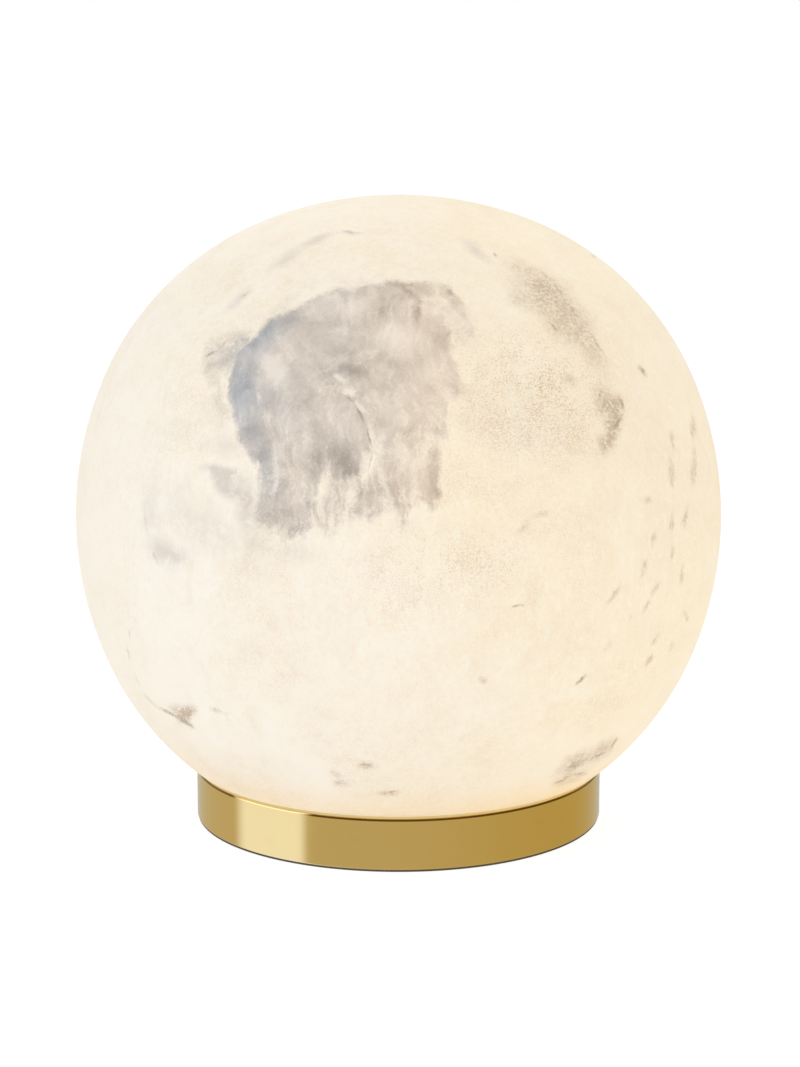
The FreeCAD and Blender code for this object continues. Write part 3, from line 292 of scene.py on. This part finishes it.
LINES = [
    (692, 412, 694, 440, 4.4, 0.9), (695, 446, 693, 488, 4.8, 1.1), (672, 430, 673, 452, 4.2, 0.7),
    (671, 456, 672, 490, 4.8, 0.9), (688, 504, 683, 528, 4.2, 0.9), (673, 512, 671, 533, 4.0, 0.8),
    (656, 530, 652, 547, 4.0, 0.8), (673, 545, 671, 561, 3.6, 0.7), (646, 559, 642, 578, 4.2, 0.8),
    (660, 581, 651, 597, 3.6, 0.7), (650, 599, 642, 614, 3.8, 0.8), (621, 585, 606, 606, 4.6, 0.7),
    (685, 610, 688, 623, 3.4, 0.7), (660, 633, 650, 649, 3.6, 0.6), (654, 654, 645, 666, 4.0, 0.8),
    (674, 640, 670, 652, 3.4, 0.5), (612, 640, 604, 652, 3.6, 0.4), (684, 560, 680, 590, 3.4, 0.5),
    (207, 706, 228, 715, 3.4, 0.5),
]
STROKES = [
    (587, 674, 575, 685, 2.6, 1.3), (639, 366, 646, 375, 4.4, 0.9), (510, 608, 521, 604, 2.4, 0.8),
    (518, 605, 524, 606, 1.8, 0.7), (618, 737, 609, 750, 2.2, 1.0), (608, 751, 586, 761, 2.0, 0.9),
    (589, 773, 571, 776, 1.8, 0.8), (570, 777, 552, 785, 2.0, 0.8), (566, 771, 583, 761, 3.8, 0.9),
    (125, 641, 131, 664, 1.4, 0.5), (131, 664, 141, 690, 1.2, 0.4), (140, 690, 160, 710, 1.8, 0.6),
    (156, 707, 182, 719, 3.0, 1.0), (178, 717, 196, 729, 3.4, 1.2), (143, 500, 149, 545, 2.0, 0.25),
    (150, 545, 160, 568, 2.2, 0.3), (205, 357, 218, 350, 2.0, 1.0), (218, 350, 232, 336, 2.0, 0.5),
    (343, 394, 356, 404, 2.0, 0.8), (355, 403, 366, 426, 2.2, 1.1), (366, 426, 373, 450, 1.8, 1.0),
    (373, 450, 368, 474, 1.4, 0.7), (546, 318, 560, 334, 2.2, 0.8), (540, 270, 552, 282, 1.8, 0.8),
    (552, 282, 566, 300, 1.8, 0.6), (566, 300, 584, 327, 1.8, 0.6), (585, 327, 607, 358, 1.8, 0.7),
    (602, 388, 598, 400, 1.8, 0.7), (619, 396, 625, 412, 2.2, 1.1), (624, 412, 612, 430, 2.4, 0.8),
    (338, 231, 366, 233, 1.6, 0.6), (493, 252, 497, 257, 1.8, 0.8), (358, 765, 374, 765, 1.6, 0.6),
    (380, 793, 400, 790, 1.8, 0.7), (240, 298, 252, 290, 1.8, 0.5), (590, 254, 596, 258, 1.6, 0.5),
]
GRAINY = [(490, 390, 570, 420, 115, 1.2), (520, 350, 590, 400, 60, 0.5), (340, 580, 560, 560, 90, 0.8)]


def stone():
    """Cream stone, lit from inside, with grey clouds, brown flecks and a fine grain."""
    tree = Stone("veined_stone", Roughness=0.42, IOR=1.5, Emission_Strength=0.56, Specular_IOR_Level=0.3)
    point = tree.point
    broad = tree.noise(point, 40, 2, 0.5).outputs[1]
    medium = tree.noise(point, 120, 5, 0.65).outputs[1]
    fine = tree.noise(point, 560, 4, 0.7).outputs[1]
    loose = tree.pushed((broad, 24), (medium, 22), (fine, 6))
    close = tree.pushed((broad, 8), (medium, 12), (fine, 4))
    tight = tree.pushed((medium, 4), (fine, 4))

    # Noise of each size, from -0.5 to 0.5: slow puffs, wisps along the flow, hanging fibres and grain
    flow = tree.pushed((broad, 50), (medium, 26), (fine, 4))
    puffs = tree.centred(tree.noise(flow, 0.024, 6, 0.62).outputs[0])
    wisps = tree.centred(tree.noise(tree.scaled(flow, (0.07, 0.05, 1)), 1.0, 6, 0.7, 0.3).outputs[0])
    fibres = tree.centred(tree.noise(tree.scaled(flow, (0.13, 0.014, 1)), 1.0, 6, 0.68).outputs[0])
    grain = tree.centred(tree.noise(point, 1250, 3, 0.75).outputs[0])
    specks = tree.noise(point, 2100, 2, 0.6).outputs[0]
    fibres = tree.math("MULTIPLY", fibres, tree.ramp(tree.down, 350, 470, 0.2, 1.0))
    chalk = tree.ramp(tree.noise(point, 1700, 2, 0.6).outputs[0], 0.66, 0.74)

    # The big grey cloud: crisp on its upper left, fraying out to the right and in streaks below
    crisp = tree.math("MINIMUM", tree.patches(close, CLOUD_CRISP, 0.4), 1.0)
    body = tree.math("MINIMUM", tree.patches(loose, CLOUD_BODY, 0.35), 1.0)
    frayed = tree.math("MINIMUM", tree.patches(loose, CLOUD_SOFT, 0.0), 0.9)
    spread = tree.math("MAXIMUM", tree.math("MAXIMUM", crisp, body), frayed)
    cloud = tree.weighed(spread, (puffs, 0.8), (wisps, 0.9), (fibres, 1.3), (grain, 0.5))
    cloud = tree.math("MULTIPLY", tree.ramp(cloud, 0.12, 0.98), tree.ramp(spread, 0.02, 0.4))
    cloud = tree.math("MULTIPLY", cloud, tree.front)
    shade = tree.math("SUBTRACT", tree.patches(close, CLOUD_DARK, 0.0), tree.patches(close, CLOUD_LIGHT, 0.0))
    shade = tree.weighed(shade, (puffs, 3.2), (wisps, 3.2), (fibres, 3.2), (grain, 1.2))
    blue = tree.math("MINIMUM", tree.patches(loose, CLOUD_BLUE, 0.0), 1.0)

    # Cream ground with a slow mottle and fine ticks. Whiter on the left and warmer on the right and below is
    # painted light and shade, for the way the light falls on the globe
    mottle = tree.centred(tree.noise(point, 28, 6, 0.62, 0.6).outputs[0])
    side = tree.ramp(tree.vector("DOT_PRODUCT", point, (1, 0, 0.25)), -0.09, 0.08)
    warm = tree.math("MULTIPLY_ADD", mottle, 1.5, side, clamp=True)
    ground = tree.mix(warm, linear(253, 246, 234), linear(251, 237, 211))
    # Painted shade: a warmer, darker tone low on the globe
    low = tree.ramp(tree.vector("DOT_PRODUCT", point, (0.2, 0, 1)), -0.062, -0.09)
    ground = tree.mix(tree.math("MULTIPLY", low, 0.6), ground, linear(249, 230, 202))
    # Painted light: the flat underside is whiter, for the light that leaks out under the globe and shows in
    # the brass below it
    underside_light = tree.ramp(tree.vector("DOT_PRODUCT", point, (0, 0, 1)), -0.0774, -0.0781)
    ground = tree.mix(underside_light, ground, linear(255, 252, 246))
    ticks = tree.noise(tree.scaled(point, (600, 600, 330)), 1.0, 4, 0.7, 0.9).outputs[0]
    ground = tree.mix(tree.ramp(ticks, 0.46, 0.74, 0.0, 0.26), ground, linear(234, 217, 192))
    ground = tree.mix(tree.ramp(ticks, 0.5, 0.3, 0.0, 0.4), ground, linear(255, 250, 238))
    streaks = tree.noise(tree.scaled(point, (110, 110, 70)), 1.0, 5, 0.65, 0.7).outputs[0]
    ground = tree.mix(tree.ramp(streaks, 0.5, 0.76, 0.0, 0.3), ground, linear(236, 221, 202))

    # Clouds away from the front are of the same kind, without a layout
    back_flow = tree.noise(point, 17, 6, 0.6, 1.3)
    back_hang = tree.noise(tree.scaled(point, (95, 95, 22)), 1.0, 5, 0.66, 0.8).outputs[0]
    back = tree.weighed(back_flow.outputs[0], (tree.centred(back_hang), 0.35), (grain, 0.06))
    behind = tree.ramp(tree.near, 0.03, -0.02)
    back = tree.math("MULTIPLY", tree.ramp(back, 0.53, 0.72, 0.0, 0.9), behind)
    cloud = tree.math("MAXIMUM", cloud, back)
    shade = tree.weighed(shade, (tree.centred(back_hang), tree.math("MULTIPLY", behind, 3.5)))
    blue = tree.mixed(behind, blue, tree.ramp(back_flow.outputs[0], 0.6, 0.72, 0.0, 0.7))
    depth = tree.ramp(shade, -1.3, 1.7, smooth=False)
    grey = tree.mix(depth, linear(236, 225, 213), linear(166, 155, 147))
    rosy = tree.mix(depth, linear(243, 229, 210), linear(178, 158, 142))
    slate = tree.mix(depth, linear(220, 217, 214), linear(153, 161, 171))
    grey = tree.mix(tree.ramp(tree.across, 340, 430), grey, rosy)
    grey = tree.mix(tree.math("MULTIPLY", chalk, 0.45), tree.mix(blue, grey, slate), linear(244, 238, 230))
    tone = tree.mix(tree.math("MULTIPLY", cloud, 0.94), ground, grey)

    # Faint patches, brown patches, broken fleck lines and single strokes
    faint = tree.math("MULTIPLY", tree.patches(close, FAINT, 0.0), tree.front)
    torn = tree.ramp(tree.weighed(wisps, (fibres, 0.8)), -0.26, 0.12, 0.25, 1.0)
    faint = tree.math("MULTIPLY", faint, torn)
    tone = tree.mix(tree.math("MINIMUM", faint, 0.9), tone, linear(216, 206, 196))
    clumps = tree.noise(point, 900, 4, 0.75).outputs[0]
    brown = tree.math("MULTIPLY", tree.patches(close, BROWN, 0.0), tree.front)
    brown = tree.math("MULTIPLY", brown, tree.ramp(tree.weighed(clumps, (wisps, 0.5)), 0.3, 0.7, 0.15, 0.95))
    tone = tree.mix(tree.math("MINIMUM", brown, 0.85), tone, linear(192, 170, 145))
    lines = tree.math("MULTIPLY", tree.patches(tight, LINES, 0.0, "MAXIMUM"), tree.front)
    lines = tree.math("MULTIPLY", lines, tree.ramp(ticks, 0.4, 0.62, 0.3, 1.0))
    tone = tree.mix(tree.math("MINIMUM", lines, 0.52), tone, linear(196, 177, 150))
    strokes = tree.math("MULTIPLY", tree.patches(tight, STROKES, 0.0, "MAXIMUM"), tree.front)
    strokes = tree.math("MULTIPLY", strokes, tree.ramp(clumps, 0.35, 0.6, 0.25, 0.8))
    tone = tree.mix(strokes, tone, linear(152, 136, 116))

    # Short dark flecks and fine specks, most of them on the grainy side
    flecks = tree.noise(tree.scaled(point, (520, 520, 170)), 1.0, 3, 0.6, 0.6).outputs[0]
    sparse = tree.ramp(tree.noise(point, 34, 3, 0.5).outputs[0], 0.5, 0.68)
    flecks = tree.math("MULTIPLY", tree.ramp(flecks, 0.66, 0.8, 0.0, 0.5), sparse)
    tone = tree.mix(flecks, tone, linear(160, 142, 126))
    grainy = tree.patches(loose, GRAINY, 0.0)
    grainy = tree.math("MULTIPLY", grainy, tree.front)
    grainy = tree.math("MAXIMUM", grainy, tree.ramp(mottle, -0.1, 0.2, 0.12, 0.5))
    specks = tree.math("MULTIPLY", tree.ramp(tree.weighed(specks, (puffs, 0.5)), 0.46, 0.68), grainy)
    tone = tree.mix(tree.math("MULTIPLY", specks, 0.55), tone, linear(208, 180, 150))

    # Painted light: the stone is warmer where it meets the brass, most on the right, for light thrown back
    # from the brass
    spot = tree.add("ShaderNodeSeparateXYZ", tree.place())
    below = tree.ramp(spot.outputs["Z"], 0.033, 0.0165)
    rightwards = tree.ramp(spot.outputs["X"], -0.035, 0.045, 0.4, 1.0)
    near = tree.math("MULTIPLY", below, rightwards)
    tone = tree.mix(near, tone, tree.vector("MULTIPLY", tone, BRASS_BOUNCE_PAINTED))

    # The light inside reaches the lower part and the right of the globe more
    glow = tree.ramp(tree.vector("DOT_PRODUCT", point, (0.45, 0, -1)), -0.1, 0.1, 0.73, 1.0, smooth=False)
    tree.feed("Base Color", tree.vector("MULTIPLY", tone, (0.6, 0.6, 0.6)))
    tree.feed("Emission Color", tree.scaled(tone, glow))
    tree.bump(grain, 0.08, 0.0002)
    return tree.owner


# Metals, plastics and rubber


def brass(name, rough, colour=(0.88, 0.64, 0.27, 1), worn=(0.76, 0.52, 0.2, 1)):
    """Polished brass with a little tarnish at random, and the fine rings of its turning. The dark line along
    the ring's rim is a painted reflection, left out where the soft box shows; the paler top is a painted
    reflection and the lighter foot edge a painted highlight.
    """
    tree = Surface(name, Metallic=1.0)
    place = tree.place()
    tarnish = tree.noise(place, 70, 5, 0.6).outputs[0]
    tone = tree.mix(tree.ramp(tarnish, 0.52, 0.8, 0.0, 0.3), colour, worn)
    spot = tree.add("ShaderNodeSeparateXYZ", place)
    height = spot.outputs["Z"]
    turn = tree.math("ARCTAN2", spot.outputs["X"], tree.math("MULTIPLY", spot.outputs["Y"], -1.0))
    # Painted dark reflection along the rim's edge, left out over the turn where the soft box is mirrored
    bright = tree.math("MULTIPLY", tree.ramp(turn, *RIM_BRIGHT_FROM), tree.ramp(turn, *RIM_BRIGHT_TO))
    lower = tree.ramp(height, RIM_DARK_FROM, RIM_DARK_FULL)
    rim = tree.math("MULTIPLY", lower, tree.ramp(height, RIM_DARK_NONE, RIM_DARK_ENDS))
    darkness = tree.math("SUBTRACT", RIM_DARKNESS, tree.math("MULTIPLY", bright, RIM_DARKNESS))
    tone = tree.mix(tree.math("MULTIPLY", rim, darkness), tone, RIM_PAINTED_DARK)
    # Painted reflection: the flat top is paler, for the glowing globe above it
    tone = tree.mix(tree.ramp(height, RIM_TOP_FROM, RIM_TOP_FULL, 0.0, 0.75), tone, TOP_PAINTED_REFLECTION)
    # Painted highlight along the band's bottom edge
    tone = tree.mix(tree.ramp(height, FOOT_EDGE_NONE, FOOT_EDGE_FULL, 0.0, 0.5), tone, FOOT_EDGE_PAINTED_HIGHLIGHT)
    tree.feed("Base Color", tone)
    rings = tree.noise(tree.scaled(place, (3, 3, 2600)), 1.0, 2, 0.5).outputs[0]
    smudge = tree.noise(place, 120, 4, 0.6).outputs[0]
    tree.feed("Roughness", tree.math("MULTIPLY_ADD", smudge, 0.06, rough - 0.03))
    tree.bump(rings, 0.015, 0.00005)
    return tree.owner


def metal(name, colour, rough, grain=(900, 900, 900), depth=0.1):
    """Bare metal with a grain along the way it was cut."""
    tree = Surface(name, Metallic=1.0)
    place = tree.place()
    cut = tree.noise(tree.scaled(place, grain), 1.0, 3, 0.6).outputs[0]
    stain = tree.noise(place, 55, 4, 0.6).outputs[0]
    darker = tuple(0.82 * value for value in colour[:3]) + (1,)
    share = tree.math("MULTIPLY", tree.math("ADD", cut, stain), 0.5)
    tree.feed("Base Color", tree.mix(share, darker, colour))
    tree.feed("Roughness", tree.math("MULTIPLY_ADD", cut, 0.14, rough - 0.07))
    tree.bump(cut, depth, 0.00006)
    return tree.owner


def moulded(name, colour, rough, grain=2200, depth=0.12, vary=0.12, **constants):
    """Moulded plastic, paint or rubber with a fine surface grain and a slight change of tone."""
    tree = Surface(name, **constants)
    place = tree.place()
    pores = tree.noise(place, grain, 2, 0.55).outputs[0]
    tone = tree.noise(place, 90, 4, 0.6).outputs[0]
    darker = tuple((1 - vary) * value for value in colour[:3]) + (1,)
    tree.feed("Base Color", tree.mix(tone, darker, colour))
    tree.feed("Roughness", tree.math("MULTIPLY_ADD", tone, 0.12, rough - 0.06))
    tree.bump(pores, depth, 0.0001)
    return tree.owner


def glowing(name, colour, rough, glow, strength):
    """Milky plastic with the light behind it, brighter where it is thin."""
    tree = Surface(name, Roughness=rough, Emission_Strength=strength)
    place = tree.place()
    cloud = tree.noise(place, 60, 4, 0.55).outputs[0]
    tree.feed("Base Color", tree.mix(cloud, tuple(0.94 * v for v in colour[:3]) + (1,), colour))
    tree.feed("Emission Color", tree.mix(cloud, tuple(0.88 * v for v in glow[:3]) + (1,), glow))
    tree.bump(tree.noise(place, 1500, 2, 0.5).outputs[0], 0.05, 0.0001)
    return tree.owner


def circuit():
    """Green board with pale tracks and rows of plated holes."""
    tree = Surface("circuit_board", Roughness=0.35)
    place = tree.place()
    cells = tree.add("ShaderNodeTexVoronoi", distance="MANHATTAN", feature="F1")
    tree.put(cells.inputs["Vector"], place)
    tree.put(cells.inputs["Scale"], 260)
    tracks = tree.ramp(tree.math("PINGPONG", tree.math("MULTIPLY", cells.outputs[0], 9.0), 1.0), 0.72, 0.86)
    green = tree.mix(tracks, (0.012, 0.11, 0.045, 1), (0.03, 0.24, 0.1, 1))
    holes = tree.add("ShaderNodeTexVoronoi", feature="F1")
    tree.put(holes.inputs["Vector"], place)
    tree.put(holes.inputs["Scale"], 330)
    pads = tree.ramp(holes.outputs[0], 0.16, 0.12)
    tree.feed("Base Color", tree.mix(pads, green, (0.72, 0.62, 0.4, 1)))
    tree.bump(tracks, 0.2, 0.00003)
    return tree.owner


MATERIALS = {
    "alabaster": stone(),
    "brass": brass("polished_brass", 0.1),
    "collar_steel": metal("turned_steel", (0.56, 0.56, 0.57, 1), 0.34, (12, 12, 3000)),
    "plate_paint": moulded("black_powder_coat", (0.022, 0.022, 0.024, 1), 0.6, 1300, 0.4),
    "foot_rubber": moulded("foot_rubber", (0.13, 0.096, 0.06, 1), 0.8, 1800, 0.3),
    # The gasket's glow is painted light: the stone's light falling on it, given as emission
    "gasket_silicone": glowing("clear_silicone_painted_glow", (0.82, 0.78, 0.7, 1), 0.45, (0.98, 0.97, 0.86, 1), 0.31),
    "screw_steel": metal("screw_steel", (0.6, 0.6, 0.62, 1), 0.28),
    "spacer_brass": brass("plain_brass", 0.3),
    "deck_aluminium": metal("brushed_aluminium", (0.78, 0.79, 0.8, 1), 0.36, (60, 1500, 60)),
    "magnet_nickel": metal("nickel_plate", (0.72, 0.7, 0.66, 1), 0.16),
    "link_nickel": metal("nickel_strip", (0.66, 0.64, 0.6, 1), 0.3, (40, 1400, 40)),
    "stem_paint": moulded("white_paint", (0.83, 0.81, 0.77, 1), 0.5, 1500, 0.2, 0.06),
    "cell_wrap": moulded("cell_wrap", (0.06, 0.2, 0.42, 1), 0.3, 700, 0.05, 0.2, Coat_Weight=0.4),
    "holder_plastic": moulded("holder_plastic", (0.04, 0.04, 0.043, 1), 0.5),
    "thermal_silicone": moulded("thermal_silicone", (0.35, 0.4, 0.46, 1), 0.7),
    "light_board": moulded("white_solder_mask", (0.85, 0.85, 0.82, 1), 0.3, 900, 0.05, 0.05),
    "phosphor": glowing("phosphor", (0.9, 0.62, 0.12, 1), 0.4, (1.0, 0.82, 0.5, 1), 1.2),
    "opal_plastic": glowing("opal_plastic", (0.86, 0.83, 0.76, 1), 0.32, (1.0, 0.9, 0.72, 1), 0.45),
    "circuit_board": circuit(),
    "port_steel": metal("port_steel", (0.62, 0.62, 0.63, 1), 0.26, (900, 60, 900)),
    "black_plastic": moulded("black_plastic", (0.018, 0.018, 0.02, 1), 0.42),
    "chip_plastic": moulded("chip_plastic", (0.03, 0.03, 0.032, 1), 0.55, 3000, 0.25),
    "capacitor_ceramic": moulded("capacitor_ceramic", (0.3, 0.2, 0.1, 1), 0.4),
    "connector_nylon": moulded("nylon", (0.8, 0.77, 0.68, 1), 0.4),
    "clear_plastic": moulded(
        "light_pipe", (0.8, 0.84, 0.84, 1), 0.12, 900, 0.05, 0.05, Transmission_Weight=0.6),
    "red_lead": moulded("red_lead", (0.5, 0.015, 0.015, 1), 0.4),
    "black_lead": moulded("black_lead", (0.014, 0.014, 0.014, 1), 0.4),
}
for entry in frame["record"]["subparts"]:
    mesh = frame["nodes"][entry["node"]].data
    mesh.materials.clear()
    mesh.materials.append(MATERIALS[entry["material_slot"]])


# Studio: white floor and background, and soft light from all round


def studio_floor():
    mesh = bpy.data.meshes.new("floor")
    reach = FLOOR_REACH
    corners = [(-reach, -reach, 0), (reach, -reach, 0), (reach, reach, 0), (-reach, reach, 0)]
    mesh.from_pydata(corners, [], [(0, 1, 2, 3)])
    floor = bpy.data.objects.new("floor", mesh)
    floor.location.z = -FLOOR_DROP
    bpy.context.scene.collection.objects.link(floor)
    tree = Tree(bpy.data.materials.new("floor"))
    tree.nodes.clear()
    rays = tree.add("ShaderNodeLightPath")
    matt = tree.add("ShaderNodeBsdfDiffuse", FLOOR_PAINT).outputs[0]
    glow = tree.add("ShaderNodeEmission", WHITE, FLOOR_GLOW_SEEN).outputs[0]
    part = tree.add("ShaderNodeBsdfDiffuse", FLOOR_PAINT_SEEN).outputs[0]
    seen = tree.add("ShaderNodeAddShader", glow, part).outputs[0]
    plain = tree.add("ShaderNodeMixShader", rays.outputs["Is Camera Ray"], matt, seen).outputs[0]
    clear = tree.add("ShaderNodeBsdfTransparent").outputs[0]
    through = tree.math("MAXIMUM", rays.outputs["Is Glossy Ray"], rays.outputs["Is Transmission Ray"])
    whole = tree.add("ShaderNodeMixShader", through, plain, clear).outputs[0]
    output = tree.add("ShaderNodeOutputMaterial")
    tree.put(output.inputs[0], whole)
    mesh.materials.append(tree.owner)


def surroundings():
    """White behind the object, plain light on it, and for gloss a warm room with a soft box on the left."""
    world = bpy.data.worlds.new("studio")
    bpy.context.scene.world = world
    tree = Tree(world)
    tree.nodes.clear()
    way = tree.add("ShaderNodeTexCoord").outputs["Generated"]
    parts = tree.add("ShaderNodeSeparateXYZ", way)
    turn = tree.math("ARCTAN2", parts.outputs[0], tree.math("MULTIPLY", parts.outputs[1], -1.0))
    turn = tree.math("MULTIPLY", turn, 180 / math.pi)
    high = parts.outputs[2]
    room = tree.mix(tree.ramp(turn, -30, 110), ROOM_FRONT, ROOM_RIGHT)
    room = tree.mix(tree.ramp(turn, 115, 180), room, ROOM_BACK)
    left = tree.mix(tree.ramp(turn, -132, -178), ROOM_LEFT, ROOM_BACK)
    room = tree.mix(tree.ramp(turn, -45, -50), room, left)
    dark = tree.math("MULTIPLY", tree.ramp(high, -0.06, 0.0), tree.ramp(parts.outputs[1], 0.5, 0.2))
    room = tree.mix(tree.ramp(high, 0.0, 0.25), room, ROOM_CEILING)
    room = tree.mix(dark, room, ROOM_SHADE)
    box = tree.math("MULTIPLY", tree.ramp(turn, -58.5, -51, 1, 0), tree.ramp(turn, -108, -96))
    box = tree.math("MULTIPLY", box, tree.ramp(high, 0.85, 0.6))
    bright = tree.mix(tree.ramp(high, 0.0, 0.1), SOFT_BOX_LOW, SOFT_BOX_HIGH)
    room = tree.mix(box, room, bright)
    rays = tree.add("ShaderNodeLightPath")
    light = tree.mix(rays.outputs["Is Glossy Ray"], PLAIN_LIGHT, room)
    seen = tree.math("MAXIMUM", rays.outputs["Is Camera Ray"], rays.outputs["Is Transmission Ray"])
    light = tree.mix(seen, light, WHITE)
    ground = tree.add("ShaderNodeBackground", light, 1.0)
    output = tree.add("ShaderNodeOutputWorld")
    tree.put(output.inputs[0], ground.outputs[0])


def soft_box(name, where, aim, size, power, colour):
    lamp = bpy.data.lights.new(name, "AREA")
    lamp.shape = "RECTANGLE"
    lamp.size, lamp.size_y = size
    lamp.energy = power
    lamp.color = colour
    item = bpy.data.objects.new(name, lamp)
    item.location = where
    item.rotation_euler = (Vector(aim) - Vector(where)).to_track_quat("-Z", "Y").to_euler()
    item.visible_glossy = False
    bpy.context.scene.collection.objects.link(item)


def camera():
    lens = bpy.data.cameras.new("camera")
    lens.sensor_width = 36
    lens.lens = FOCAL_PIXELS * lens.sensor_width / PHOTO_HIGH
    lens.shift_x = (PHOTO_CENTRE[0] - GLOBE_PIXEL[0]) / PHOTO_HIGH
    lens.shift_y = (GLOBE_PIXEL[1] - PHOTO_CENTRE[1]) / PHOTO_HIGH
    lens.clip_start, lens.clip_end = 0.01, 50
    item = bpy.data.objects.new("camera", lens)
    item.location = GLOBE_CENTRE + TOWARDS * CAMERA_FAR
    item.rotation_euler = (math.pi / 2 - CAMERA_RISE, 0, 0)
    bpy.context.scene.collection.objects.link(item)
    bpy.context.scene.camera = item


studio_floor()
surroundings()
soft_box("key", (-1.3, -1.2, 1.5), (0, 0, 0.09), (1.4, 1.4), 16, (0.98, 0.99, 1.0))
soft_box("fill", (1.5, -1.1, 1.0), (0, 0, 0.09), (1.4, 1.4), 9, (1.0, 0.97, 0.92))
soft_box("back", (0.2, 1.6, 1.2), (0, 0, 0.09), (1.6, 1.2), 9, (1.0, 0.98, 0.95))
camera()
bpy.context.scene.view_settings.view_transform = "Standard"
